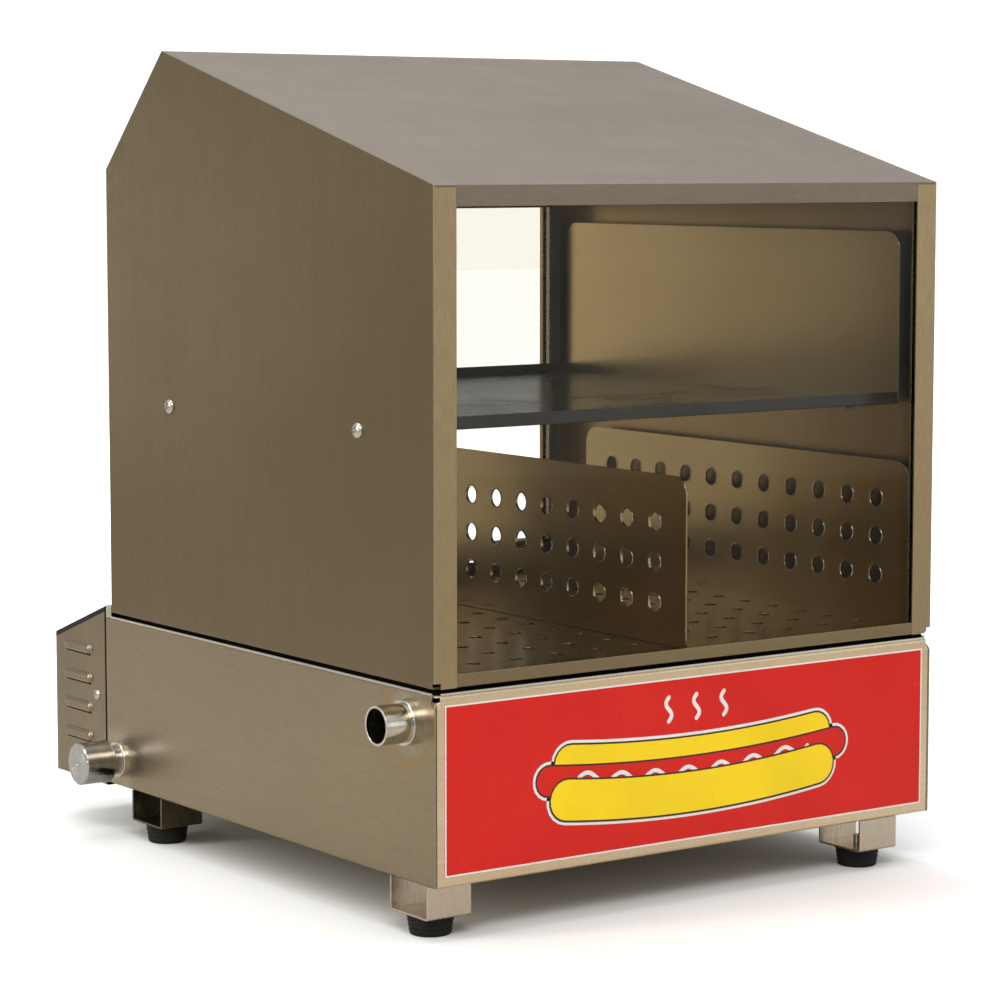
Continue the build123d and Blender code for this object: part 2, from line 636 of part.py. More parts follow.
def cabinet_side():
    """Right side sheet, with the front jamb, rear jamb and bottom edge folded inwards."""
    skin = side_plate(cabinet_outline(), INNER, SHEET)
    jamb_top = FRONT_TOP - ROOF_DROP - RUN_GAP
    jamb = block(JAMB_EDGE, HALF, 0, SHEET, CAB_FLOOR, jamb_top)
    rear_top = REAR_TOP - 2 * SHEET
    rear = block(REAR_EDGE, HALF, REAR_FACE - SHEET, REAR_FACE, CAB_FLOOR, rear_top)
    inner_edge = HALF - CABINET_FOOT_FLANGE
    foot = block(inner_edge, HALF, SHEET, REAR_FACE - SHEET, CAB_FLOOR, CAB_FLOOR + SHEET)
    panel = skin + jamb + rear + foot
    panel = round_edges(panel, Axis.Y, [(HALF, CAB_FLOOR)], SHEET)
    low = CAB_FLOOR + CORNER_RELIEF_HEIGHT
    panel -= block(HALF - CORNER_RELIEF, HALF + 1, -1, CORNER_RELIEF_HEIGHT, CAB_FLOOR - 1, low)
    for y in SHELF_SCREW_Y:
        panel -= rod((INNER - 1, y, PEG_Z), (HALF + 1, y, PEG_Z), SHELF_PEG_RADIUS)
    return panel


def roof_panel():
    """One sheet: front header, front slope, ridge, rear slope and rear top rail."""
    half = INNER - RUN_GAP
    whole = extrude(make_face(Plane.YZ * Polyline(*cabinet_outline(), close=True)), half, both=True)
    face = make_face(Polyline(*cabinet_outline(), close=True))
    inner_face = offset(face, amount=-SHEET, kind=Kind.INTERSECTION)
    inside = extrude(Plane.YZ * inner_face, half + 1, both=True)
    shell = whole - inside
    below = block(-HALF, HALF, -1, REAR_FACE / 2, CAB_FLOOR - 1, FRONT_TOP - HEADER)
    behind = block(-HALF, HALF, REAR_FACE / 2, REAR_FACE + 1, CAB_FLOOR - 1, REAR_TOP - REAR_TOP_RAIL)
    shell = shell - below - behind
    for sign in (-1, 1):
        jamb = sign * (JAMB_EDGE - RUN_GAP)
        front_low = block(jamb, sign * HALF, -1, SHEET, CAB_FLOOR, FRONT_TOP - ROOF_DROP)
        rear_jamb = sign * (REAR_EDGE - RUN_GAP)
        rear_high = REAR_TOP - 1.6 * SHEET
        rear_low = block(rear_jamb, sign * HALF, REAR_FACE - SHEET, REAR_FACE + 1, CAB_FLOOR, rear_high)
        shell = shell - front_low - rear_low
    return shell


def front_bottom_rail():
    """Low folded rail between the jambs that carries the front glass."""
    half = JAMB_EDGE - RUN_GAP
    face = block(-half, half, 0, SHEET, CAB_FLOOR, CAB_FLOOR + BOTTOM_RAIL)
    ledge = block(-half, half, 0, GLASS_BACK + SHEET, CAB_FLOOR, CAB_FLOOR + SHEET)
    behind = GLASS_BACK + RUN_GAP
    back = block(-half, half, behind, behind + SHEET, CAB_FLOOR, CAB_FLOOR + BOTTOM_RAIL - 2)
    rail = face + ledge + back
    return round_edges(rail, Axis.X, [(0, CAB_FLOOR)], SHEET)


def rear_bottom_rail():
    half = REAR_EDGE - RUN_GAP
    face = block(-half, half, REAR_FACE - SHEET, REAR_FACE, CAB_FLOOR, CAB_FLOOR + REAR_BOTTOM_RAIL)
    ledge = block(-half, half, REAR_FACE - CABINET_FOOT_FLANGE, REAR_FACE, CAB_FLOOR, CAB_FLOOR + SHEET)
    return face + ledge


def front_glass():
    half = JAMB_EDGE + GLASS_LAP
    return block(-half, half, GLASS_FRONT, GLASS_BACK, GLASS_LOW, GLASS_TOP)


def glass_tape():
    """Thin cushioning tape between the glass and the frame's inner face."""
    half = JAMB_EDGE + GLASS_LAP
    width = GLASS_LAP - 1
    hidden = 3.5
    outer = block(-half, half, SHEET, GLASS_FRONT, GLASS_LOW, GLASS_TOP)
    window_low = GLASS_LOW + BOTTOM_RAIL - hidden
    window_top = GLASS_TOP - HEADER + hidden
    return outer - block(-half + width, half - width, 0, GLASS_BACK, window_low, window_top)


def glass_stops():
    """Folded angles on the cabinet's inner sides that hold the glass forwards."""
    low = CAB_FLOOR + BOTTOM_RAIL
    top = FRONT_TOP - HEADER
    back = GLASS_BACK + 0.1
    behind = block(JAMB_EDGE + STOP_INSET, INNER, back, back + SHEET, low, top)
    along = block(INNER - SHEET, INNER, back, back + STOP_LENGTH, low, top)
    right = behind + along
    return [right, mirrored(right)]


def shelf_peg(y):
    """Screw through the right side whose shank carries the bun tray."""
    screw = pan_screw(SHELF_PEG_RADIUS, SHELF_PEG_REACH, SHELF_HEAD_RADIUS, SHELF_HEAD_HEIGHT)
    return placed(screw, (HALF, y, PEG_Z), (1, 0, 0))


def shelf_nut(y):
    return placed(hex_nut(M5_FLATS, SHELF_PEG_RADIUS, SHELF_NUT_HEIGHT), (INNER, y, PEG_Z), (-1, 0, 0))


def both_sides(maker):
    right = [maker(y) for y in SHELF_SCREW_Y]
    return right + [mirrored(piece) for piece in right]


# ---------------------------------------------------------------- trays
def bun_tray_floor():
    """Dark coated sheet with its front and rear edges folded up."""
    half = TRAY_IN
    floor = block(-half, half, BUN_TRAY_FRONT, BUN_TRAY_BACK, BUN_FLOOR, BUN_FLOOR + TRAY_SHEET)
    lip_top = BUN_FLOOR + BUN_TRAY_LIP
    front = block(-half, half, BUN_TRAY_FRONT, BUN_TRAY_FRONT + TRAY_SHEET, BUN_FLOOR, lip_top)
    rear = block(-half, half, BUN_TRAY_BACK - TRAY_SHEET, BUN_TRAY_BACK, BUN_FLOOR, lip_top)
    tray = floor + front + rear
    return round_edges(tray, Axis.X, [(BUN_TRAY_FRONT, BUN_FLOOR), (BUN_TRAY_BACK, BUN_FLOOR)], 1.0)


def bun_tray_sides():
    """Tall end plates with rounded corners."""
    high = [(BUN_TRAY_FRONT, BUN_PLATE_TOP), (BUN_TRAY_BACK, BUN_PLATE_TOP)]
    low = [(BUN_TRAY_BACK, BUN_FLOOR), (BUN_TRAY_FRONT, BUN_FLOOR)]
    plate = side_plate(high + low, TRAY_IN, TRAY_SHEET)
    plate = round_edges(plate, Axis.X, high, PLATE_CORNER)
    plate = round_edges(plate, Axis.X, low, BUN_PLATE_FOOT_CORNER)
    return [plate, mirrored(plate)]


def hot_dog_tray_floor():
    """Perforated floor with its front and rear edges folded down."""
    half = TRAY_IN
    floor = block(-half, half, DOG_TRAY_FRONT, DOG_TRAY_BACK, DOG_FLOOR, DOG_FLOOR + TRAY_SHEET)
    front = block(-half, half, DOG_TRAY_FRONT, DOG_TRAY_FRONT + TRAY_SHEET, DOG_REST, DOG_FLOOR)
    rear = block(-half, half, DOG_TRAY_BACK - TRAY_SHEET, DOG_TRAY_BACK, DOG_REST, DOG_FLOOR)
    tray = floor + front + rear
    pitch = 2 * half / FLOOR_HOLE_COUNT
    holes = []
    for column in range(FLOOR_HOLE_COUNT):
        x = -half + (column + 0.5) * pitch
        for row in range(HOLE_COUNT):
            y = TRAY_MIDDLE + (row - (HOLE_COUNT - 1) / 2) * HOLE_PITCH
            holes.append(rod((x, y, DOG_FLOOR - 1), (x, y, DOG_FLOOR + 2 * TRAY_SHEET), FLOOR_HOLE_RADIUS))
    return tray - holes


def hot_dog_tray_sides():
    points = [
        (DOG_TRAY_FRONT, DOG_REST),
        (DOG_TRAY_FRONT, DOG_PLATE_TOP),
        (DOG_TRAY_BACK, DOG_PLATE_TOP),
        (DOG_TRAY_BACK, DOG_REST),
    ]
    plate = perforated(points, TRAY_IN, TRAY_SHEET, SIDE_ROW_DROP, HOLE_ROWS)
    return [plate, mirrored(plate)]


def tray_divider():
    """Upright perforated plate on a folded foot, at mid-width."""
    low = DOG_FLOOR + TRAY_SHEET + RUN_GAP
    top = DOG_PLATE_TOP + DIVIDER_OVER_PLATE
    points = [(DOG_TRAY_FRONT, low), (DOG_TRAY_FRONT, top), (DOG_TRAY_BACK, top), (DOG_TRAY_BACK, low)]
    plate = perforated(points, -TRAY_SHEET / 2, TRAY_SHEET, DIVIDER_ROW_DROP, HOLE_ROWS)
    front = DOG_TRAY_FRONT + DIVIDER_FOOT_INSET
    back = DOG_TRAY_BACK - DIVIDER_FOOT_INSET
    return plate + block(-TRAY_SHEET / 2, DIVIDER_FOOT, front, back, low, low + TRAY_SHEET)


# ---------------------------------------------------------------- rear door
def door_frame():
    """Folded frame with a groove for its glass and the pivot holes in its hinge stile."""
    outer = block(-DOOR_EDGE, DOOR_EDGE, DOOR_FRONT, DOOR_BACK, DOOR_SILL, DOOR_HEAD)
    corners = [(DOOR_EDGE, DOOR_FRONT), (-DOOR_EDGE, DOOR_FRONT)]
    outer = round_edges(outer, Axis.Z, corners, 2.5)
    inside_left = -DOOR_EDGE + HANDLE_STILE
    inside_right = DOOR_EDGE - DOOR_FRAME
    inside_low = DOOR_SILL + DOOR_FRAME
    inside_high = DOOR_HEAD - DOOR_FRAME
    frame = outer - block(inside_left, inside_right, DOOR_FRONT - 1, DOOR_BACK + 1, inside_low, inside_high)
    groove = DOOR_GROOVE + RUN_GAP
    slot_front = DOOR_GLASS_FRONT - GROOVE_SLACK
    slot_back = DOOR_GLASS_FRONT + GLASS + GROOVE_SLACK
    left = inside_left - groove
    right = inside_right + groove
    frame -= block(left, right, slot_front, slot_back, inside_low - groove, inside_high + groove)
    bore = PIVOT_RADIUS + PIVOT_FIT
    depth = PIVOT_REACH + 1
    frame -= rod((PIVOT_X, PIVOT_Y, DOOR_SILL - 1), (PIVOT_X, PIVOT_Y, DOOR_SILL + depth), bore)
    frame -= rod((PIVOT_X, PIVOT_Y, DOOR_HEAD - depth), (PIVOT_X, PIVOT_Y, DOOR_HEAD + 1), bore)
    return frame


def door_glass():
    left = -DOOR_EDGE + HANDLE_STILE - DOOR_GROOVE
    right = DOOR_EDGE - DOOR_FRAME + DOOR_GROOVE
    low = DOOR_SILL + DOOR_FRAME - DOOR_GROOVE
    high = DOOR_HEAD - DOOR_FRAME + DOOR_GROOVE
    return block(left, right, DOOR_GLASS_FRONT, DOOR_GLASS_FRONT + GLASS, low, high)


def door_gasket():
    """Flat seal on the face of the door that meets the cabinet."""
    thick = DOOR_GAP - RUN_GAP
    out_x = PIVOT_X - 0.5
    low = DOOR_SILL + GASKET_INSET
    high = DOOR_HEAD - GASKET_INSET
    width = GASKET_WIDTH
    before = DOOR_FRONT - 2
    behind = DOOR_FRONT + 1
    outer = block(-out_x, out_x, DOOR_FRONT - thick, DOOR_FRONT, low, high)
    inner = block(-out_x + width, out_x - width, before, behind, low + width, high - width)
    plate = block(-CATCH_HALF - 1, CATCH_HALF + 1, before, behind, high - width - 1, high + 1)
    return outer - inner - plate


def catch_plate():
    """Steel strike on the door's top rail."""
    thick = DOOR_GAP - RUN_GAP
    high = DOOR_HEAD - GASKET_INSET
    return block(-CATCH_HALF, CATCH_HALF, DOOR_FRONT - thick, DOOR_FRONT, high - CATCH_PLATE_HEIGHT, high)


def catch_magnet():
    """Magnet block behind the cabinet's rear top rail."""
    low = REAR_TOP - REAR_TOP_RAIL + 1
    back = REAR_FACE - SHEET
    return block(-CATCH_HALF, CATCH_HALF, back - CATCH_DEPTH, back, low, low + CATCH_HEIGHT)


def door_pivot_brackets():
    """Top and bottom brackets, each with a pin that enters the door's hinge stile."""
    pieces = []
    inside = PIVOT_X - BRACKET_INSIDE
    outside = HALF - BRACKET_OUTSIDE
    low_leaf = DOOR_SILL - BASE_TOP - REAR_BAR_HEIGHT - 1.0
    high_leaf = DOOR_HEAD_GAP - 3.0
    for edge, out, reach in ((DOOR_SILL, -1, low_leaf), (DOOR_HEAD, 1, high_leaf)):
        near = edge + out * RUN_GAP
        far = near + out * BRACKET_SHEET
        back = PIVOT_Y + PIVOT_RADIUS + 2.0
        tongue = block(inside, outside, REAR_FACE, back, near, far)
        leaf = block(inside, outside, REAR_FACE, REAR_FACE + BRACKET_SHEET, near, edge + out * reach)
        pin = rod((PIVOT_X, PIVOT_Y, far), (PIVOT_X, PIVOT_Y, edge - out * PIVOT_REACH), PIVOT_RADIUS)
        pieces.append(tongue + leaf + pin)
    return pieces


def door_handle():
    """Round bar bent into a D on the free stile."""
    x = HANDLE_X
    low = HANDLE_Z - HANDLE_SPAN / 2
    high = HANDLE_Z + HANDLE_SPAN / 2
    out = DOOR_BACK + HANDLE_REACH
    path = FilletPolyline(
        (x, DOOR_BACK, low), (x, out, low), (x, out, high), (x, DOOR_BACK, high), radius=HANDLE_BEND
    )
    section = Plane(origin=(x, DOOR_BACK, low), z_dir=(0, 1, 0)) * Circle(HANDLE_ROD)
    return sweep(section, path=path)


def door_handle_washers():
    x = HANDLE_X
    rings = []
    for z in (HANDLE_Z - HANDLE_SPAN / 2, HANDLE_Z + HANDLE_SPAN / 2):
        rings.append(tube((x, DOOR_BACK, z), (x, DOOR_BACK + WASHER_THICKNESS, z), WASHER_RADIUS, HANDLE_ROD))
    return rings


# ---------------------------------------------------------------- control box
def box_outline(inset, front):
    """Side outline of the control box: upright back, top sloping down to the rear."""
    slope = BOX_SLOPE_DROP / BOX_DEPTH
    back = BOX_BACK - inset
    drop = inset * math.sqrt(1 + slope * slope)
    return [
        (front, BOX_FLOOR + inset),
        (front, BOX_FRONT_TOP - drop - slope * (front - BOX_FRONT)),
        (back, BOX_FRONT_TOP - drop - slope * (back - BOX_FRONT)),
        (back, BOX_FLOOR + inset),
    ]


def box_shell():
    """Whole box in sheet, open towards the base, before it is parted into cover and lid."""
    outer = side_plate(box_outline(0, BOX_FRONT + BOX_SEAL), -HALF, WIDTH)
    inner = side_plate(box_outline(SHEET, BOX_FRONT - 1), -INNER, 2 * INNER)
    return outer - inner


def lid_region(edge):
    """Everything above a line parallel to the sloped top and the given depth below it."""
    slope = BOX_SLOPE_DROP / BOX_DEPTH
    front = BOX_FRONT - 1
    back = BOX_BACK + 1
    low_front = BOX_FRONT_TOP - edge + slope
    low_back = BOX_BACK_TOP - edge - slope
    points = [(front, low_front), (front, low_front + 50), (back, low_back + 50), (back, low_back)]
    return side_plate(points, -HALF - 1, WIDTH + 2)


def control_box_lid():
    """Black top sheet of the box, folded down over the sides and the back."""
    return box_shell() & lid_region(BOX_LID_EDGE)


def control_box_seal():
    """Black strip that fills the joint between the box and the rear of the base."""
    outer = side_plate(box_outline(0, BOX_FRONT), -HALF, WIDTH)
    width = BOX_SEAL_WIDTH
    inner = side_plate(box_outline(width, BOX_FRONT - 1), -HALF + width, WIDTH - 2 * width)
    slice_back = BOX_FRONT + BOX_SEAL
    slab = block(-HALF - 1, HALF + 1, BOX_FRONT, slice_back, BOX_FLOOR - 1, BOX_FRONT_TOP + 1)
    return (outer - inner) & slab


def louvre_levels():
    first = BOX_BACK_TOP - LOUVRE_FIRST_DROP
    return [first - index * LOUVRE_PITCH for index in range(LOUVRE_COUNT)]


def louvre_hood(z):
    """Pressed half-round hood with rounded ends on the right side, open along its lower edge."""
    half = LOUVRE_HEIGHT / 2
    radius = (LOUVRE_REACH ** 2 + half ** 2) / (2 * LOUVRE_REACH)
    x = HALF + LOUVRE_REACH - radius
    back = BOX_BACK - LOUVRE_FROM_BACK - radius
    front = back - LOUVRE_LENGTH + 2 * radius
    hood = rod((x, front, z), (x, back, z), radius)
    hood += Pos(x, front, z) * Sphere(radius) + Pos(x, back, z) * Sphere(radius)
    below = block(HALF - 9, HALF + 9, front - 9, back + 9, z - 9, z - half + LOUVRE_SLIT)
    inside = block(HALF - 9, HALF - SHEET / 2, front - 9, back + 9, z - 9, z + 9)
    return hood - below - inside


def box_side_cut(z):
    """Slit under one hood, through the right side."""
    low = z - LOUVRE_HEIGHT / 2
    back = BOX_BACK - LOUVRE_FROM_BACK - LOUVRE_END
    front = BOX_BACK - LOUVRE_FROM_BACK - LOUVRE_LENGTH + LOUVRE_END
    return block(INNER - 1, HALF + 1, front, back, low, low + LOUVRE_SLIT)


def box_screw_places():
    return [
        (BOX_FRONT + BOX_SCREW_FROM_FRONT, PANEL_Z + BOX_SCREW_OVER_PANEL),
        (BOX_FRONT + BOX_SCREW_FROM_FRONT, BOX_FLOOR + BOX_SCREW_OVER_FLOOR),
    ]


def control_box_cover():
    """Folded cover that closes the space behind the base, with pressed louvres at each end."""
    cover = box_shell() - lid_region(BOX_LID_EDGE)
    for z in louvre_levels():
        cut = box_side_cut(z)
        hood = louvre_hood(z)
        cover = cover - cut - mirrored(cut) + hood + mirrored(hood)
    for y, z in box_screw_places():
        cover -= rod((-HALF - 1, y, z), (HALF + 1, y, z), BOX_SCREW_RADIUS)
    for x, radius in PANEL_HOLES:
        cover -= rod((x, BOX_BACK - 3, PANEL_Z), (x, BOX_BACK + 1, PANEL_Z), radius)
    half_width = ROCKER_WIDTH / 2 + 1
    half_height = ROCKER_HEIGHT / 2 + 1
    left = ROCKER_X - half_width
    right = ROCKER_X + half_width
    cover -= block(left, right, BOX_BACK - 3, BOX_BACK + 1, PANEL_Z - half_height, PANEL_Z + half_height)
    return cover


def control_box_screws():
    """Two screws at each end, one at the middle height and one low."""
    pieces = []
    screw = pan_screw(BOX_SCREW_RADIUS, SHEET + BOX_SCREW_SPARE, BOX_SCREW_HEAD, BOX_SCREW_HEAD_HEIGHT)
    for y, z in box_screw_places():
        right = placed(screw, (HALF, y, z), (1, 0, 0))
        pieces += [right, mirrored(right)]
    return pieces


def thermostat_body():
    """Thermostat behind the panel, with its shaft out through it."""
    face = BOX_BACK - SHEET
    body = block(KNOB_X - 20, KNOB_X + 20, face - 28, face, PANEL_Z - 18, PANEL_Z + 18)
    body = fillet(body.edges().filter_by(Axis.Y), 3.0)
    shaft = rod((KNOB_X, face, PANEL_Z), (KNOB_X, BOX_BACK + SHAFT_REACH, PANEL_Z), KNOB_SHAFT_RADIUS)
    return body + shaft


def thermostat_knob():
    """Knob with a skirt, finger flutes and a pointer groove, on the thermostat's shaft."""
    skirt_end = KNOB_START + 4.0
    skirt = rod((KNOB_X, KNOB_START, PANEL_Z), (KNOB_X, skirt_end, PANEL_Z), KNOB_RADIUS + 3.0)
    knob = skirt + rod((KNOB_X, skirt_end, PANEL_Z), (KNOB_X, KNOB_BACK, PANEL_Z), KNOB_RADIUS)
    ring = KNOB_RADIUS + 2.4
    for step in range(KNOB_FLUTES):
        angle = math.radians((step + 0.5) * 360 / KNOB_FLUTES)
        x = KNOB_X + ring * math.cos(angle)
        z = PANEL_Z + ring * math.sin(angle)
        knob -= rod((x, skirt_end, z), (x, KNOB_BACK + 1, z), KNOB_FLUTE_RADIUS)
    groove_top = PANEL_Z + KNOB_RADIUS + 1
    knob -= block(KNOB_X - 0.8, KNOB_X + 0.8, KNOB_BACK - 0.8, KNOB_BACK + 1, PANEL_Z + 4, groove_top)
    bore_end = BOX_BACK + SHAFT_REACH + 0.5
    bore = KNOB_SHAFT_RADIUS + SHAFT_FIT
    return knob - rod((KNOB_X, KNOB_START - 1, PANEL_Z), (KNOB_X, bore_end, PANEL_Z), bore)


def dial_plate():
    """Round plate behind the knob that carries the temperature marks."""
    front = (KNOB_X, BOX_BACK, PANEL_Z)
    back = (KNOB_X, BOX_BACK + DIAL_THICKNESS, PANEL_Z)
    return tube(front, back, KNOB_RADIUS + DIAL_BORDER, KNOB_SHAFT_RADIUS + 1)


def power_switch_body():
    """Switch housing, open at the panel for its rocker, with a thin bezel."""
    x0 = ROCKER_X - ROCKER_WIDTH / 2 - 0.8
    x1 = ROCKER_X + ROCKER_WIDTH / 2 + 0.8
    z0 = PANEL_Z - ROCKER_HEIGHT / 2 - 0.8
    z1 = PANEL_Z + ROCKER_HEIGHT / 2 + 0.8
    housing = block(x0, x1, BOX_BACK - 22, BOX_BACK, z0, z1)
    bezel = block(x0 - 1.8, x1 + 1.8, BOX_BACK, BOX_BACK + 1.5, z0 - 1.8, z1 + 1.8)
    pocket = block(x0 + 0.5, x1 - 0.5, BOX_BACK - 12, BOX_BACK + 2, z0 + 0.5, z1 - 0.5)
    levels = (PANEL_Z - 6, PANEL_Z + 6)
    pins = [block(x0 + 3, x1 - 3, BOX_BACK - 30, BOX_BACK - 22, z - 0.4, z + 0.4) for z in levels]
    pivot_y = BOX_BACK - ROCKER_PIVOT_DEPTH
    pivot = rod((x0 - 1, pivot_y, PANEL_Z), (x1 + 1, pivot_y, PANEL_Z), ROCKER_PIVOT_RADIUS + SHAFT_FIT)
    return housing + bezel - pocket + pins - pivot


def power_rocker():
    """Rocker with two faces that meet at a shallow angle over its pivot."""
    half = ROCKER_HEIGHT / 2 - 1.0
    face = BOX_BACK + 1.0
    rise = half * math.tan(math.radians(ROCKER_TILT))
    points = [
        (face + 3 + rise - 2, PANEL_Z - half),
        (face + 0.5, PANEL_Z),
        (face + 3 + rise - 2, PANEL_Z + half),
        (BOX_BACK - 3, PANEL_Z + half - 1),
        (BOX_BACK - 5, PANEL_Z),
        (BOX_BACK - 3, PANEL_Z - half + 1),
    ]
    rocker = side_plate(points, ROCKER_X - ROCKER_WIDTH / 2 + 0.3, ROCKER_WIDTH - 0.6)
    pivot_y = BOX_BACK - ROCKER_PIVOT_DEPTH
    reach = ROCKER_WIDTH / 2 + 0.6
    rocker += rod((ROCKER_X - reach, pivot_y, PANEL_Z), (ROCKER_X + reach, pivot_y, PANEL_Z), ROCKER_PIVOT_RADIUS)
    return rocker.rotate(Axis((ROCKER_X, pivot_y, PANEL_Z), (1, 0, 0)), -ROCKER_TILT)


def pilot_lamp():
    """Amber indicator with a domed lens and a body behind the panel."""
    lens = rod((LAMP_X, BOX_BACK, PANEL_Z), (LAMP_X, BOX_BACK + 4, PANEL_Z), LAMP_RADIUS + 1.5)
    lens = fillet(lens.edges().filter_by(GeomType.CIRCLE).sort_by(Axis.Y)[-1], 3.0)
    return lens + rod((LAMP_X, BOX_BACK - 20, PANEL_Z), (LAMP_X, BOX_BACK, PANEL_Z), LAMP_RADIUS)


def cord_gland():
    """Plastic gland at the supply inlet, with its nut behind the panel."""
    def along(start, end, radius):
        return rod((GLAND_X, BOX_BACK + start, PANEL_Z), (GLAND_X, BOX_BACK + end, PANEL_Z), radius)

    gland = along(0, 4, GLAND_RADIUS) + along(4, GLAND_REACH, GLAND_RADIUS - 3)
    gland += along(-6, 0, GLAND_RADIUS - 2)
    gland += along(-5, -SHEET, GLAND_RADIUS)
    return gland - along(-7, GLAND_REACH + 1, GLAND_BORE)


def terminal_block():
    """Screw terminals on the rear of the base, inside the control box."""
    high = BOX_FRONT_TOP - TERMINAL_UNDER_TOP
    low = high - TERMINAL_HEIGHT
    middle = (low + high) / 2
    half = TERMINAL_PITCH * TERMINAL_COUNT / 2
    body = block(-half, half, BASE_DEPTH, BASE_DEPTH + TERMINAL_DEPTH, low, high)
    for step in range(TERMINAL_COUNT):
        x = (step - (TERMINAL_COUNT - 1) / 2) * TERMINAL_PITCH
        body -= rod((x, BASE_DEPTH + 6, middle), (x, BASE_DEPTH + TERMINAL_DEPTH + 1, middle), 2.5)
    return body


def thermostat_bulb():
    """Sensing bulb in the tank, on a capillary that leaves through the rear walls."""
    inside = TANK_REAR - TANK_SHEET
    shoulder = inside - 10
    bulb = rod((BULB_X, inside - BULB_LENGTH, BULB_Z), (BULB_X, shoulder, BULB_Z), BULB_RADIUS)
    return bulb + rod((BULB_X, shoulder, BULB_Z), (BULB_X, BASE_DEPTH + 12, BULB_Z), BULB_NECK_RADIUS)


def bulb_gland():
    """Sealing gland where the capillary passes the tank wall."""
    start = (BULB_X, TANK_REAR, BULB_Z)
    end = (BULB_X, BASE_DEPTH + 4, BULB_Z)
    inner = (BULB_X, TANK_REAR - TANK_SHEET, BULB_Z)
    body = tube(start, end, BULB_GLAND_RADIUS - 0.5, BULB_NECK_RADIUS)
    return body + tube(inner, start, BULB_RADIUS, BULB_NECK_RADIUS)


# ---------------------------------------------------------------- export
def save(name, pieces):
    """Move a piece, or a group of separate like pieces, to the final origin and write it."""
    group = list(pieces) if isinstance(pieces, (list, ShapeList)) else [pieces]
    solids = [solid for piece in group for solid in piece.solids()]
    shape = solids[0] if len(solids) == 1 else Compound(children=solids)
    export_step(Pos(-ORIGIN_X, -ORIGIN_Y, 0) * shape, f"parts/{name}.step")


def main():
    os.makedirs("parts", exist_ok=True)
    makers = (
        base_front_panel, base_left_panel, base_rear_panel, base_bottom_plate, rear_locating_bar, front_decal,
        seam_gasket, water_tank, heating_element, element_flange, fill_pipe, fill_collar, drain_pipe,
        drain_weld_ring, drain_cap, drain_cap_seal, roof_panel, front_bottom_rail, rear_bottom_rail,
        front_glass, glass_tape, glass_stops, bun_tray_floor, bun_tray_sides, hot_dog_tray_floor,
        hot_dog_tray_sides, tray_divider, door_frame, door_glass, door_gasket, catch_plate, catch_magnet,
        door_pivot_brackets, door_handle, door_handle_washers, control_box_cover, control_box_lid,
        control_box_seal, control_box_screws,
        thermostat_body, thermostat_knob, dial_plate, power_switch_body, power_rocker, pilot_lamp,
        cord_gland, terminal_block, thermostat_bulb, bulb_gland,
    )
    for maker in makers:
        save(maker.__name__, maker())
    save("base_right_panel", base_side_panel())
    save("cabinet_right_side", cabinet_side())
    save("cabinet_left_side", mirrored(cabinet_side()))
    for name, corner in LEG_PLACES.items():
        save(name, leg(*corner))
    save("rubber_feet", [rubber_foot(x, y) for x, y in leg_centres()])
    save("foot_screws", [foot_screw(x, y) for x, y in leg_centres()])
    save("shelf_pegs", both_sides(shelf_peg))
    save("shelf_nuts", both_sides(shelf_nut))


main()
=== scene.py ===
import math

import bmesh
import bpy
from bpy.props import FloatProperty, FloatVectorProperty, IntProperty, PointerProperty
from mathutils import Matrix, Vector


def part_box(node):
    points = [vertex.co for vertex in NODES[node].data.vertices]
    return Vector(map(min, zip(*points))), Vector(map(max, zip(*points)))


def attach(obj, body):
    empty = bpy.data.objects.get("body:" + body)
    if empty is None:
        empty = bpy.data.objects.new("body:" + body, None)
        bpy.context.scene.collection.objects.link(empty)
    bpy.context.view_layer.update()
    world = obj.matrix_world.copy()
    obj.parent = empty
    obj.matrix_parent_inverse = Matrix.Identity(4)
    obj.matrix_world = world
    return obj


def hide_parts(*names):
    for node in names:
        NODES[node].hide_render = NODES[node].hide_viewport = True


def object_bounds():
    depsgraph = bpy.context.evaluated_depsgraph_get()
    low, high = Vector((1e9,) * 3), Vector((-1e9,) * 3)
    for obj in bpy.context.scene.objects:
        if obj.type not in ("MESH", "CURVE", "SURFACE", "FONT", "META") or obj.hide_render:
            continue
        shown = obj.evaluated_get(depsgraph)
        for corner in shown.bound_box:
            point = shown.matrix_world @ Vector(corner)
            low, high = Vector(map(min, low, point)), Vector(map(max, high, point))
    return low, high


bl_info = {
    "name": "Hot Dog Steamer Finishes",
    "version": (1, 0, 0),
    "blender": (4, 5, 0),
    "location": "3D View > Sidebar > Steamer",
    "description": "Finishes and small detail for the countertop hot dog steamer",
    "category": "Object",
}

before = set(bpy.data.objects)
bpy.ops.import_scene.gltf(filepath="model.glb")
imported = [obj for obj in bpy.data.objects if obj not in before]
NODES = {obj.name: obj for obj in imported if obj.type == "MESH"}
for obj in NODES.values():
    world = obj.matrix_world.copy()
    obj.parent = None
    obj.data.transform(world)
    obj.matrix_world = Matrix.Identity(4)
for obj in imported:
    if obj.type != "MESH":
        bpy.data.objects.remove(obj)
CAD_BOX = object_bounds()
MM = 0.001
SMOOTH_ANGLE = math.radians(32.0)
MERGE_GAP = 0.002 * MM
DIAL_START = 90.0  # degrees, where the dial's first mark stands: straight up
DIAL_SWEEP = 300.0  # degrees, from the first mark to the last one
STEAM_HOLE = 5.75 * MM
FOOT_TAPER = 12.5 / 14.4
DRAIN_THREAD = 9.93 * MM
DECAL_BACK, DECAL_FIRST, DECAL_STEP = 0.01, 0.06, 0.05  # mm before the decal's face
WHITE = (1.0, 1.0, 1.0)
# Painted light: a per-channel gain paints the cabinet's inner faces lighter, and a second gain paints the
# front flange of its sides lighter.
INSIDE_PAINTED_LIGHT, FLANGE_PAINTED_LIGHT = (1.75, 1.55, 1.25), 1.95
MATERIALS = {}


# ---- places read from the frame
def low(node):
    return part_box(node)[0]


def high(node):
    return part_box(node)[1]


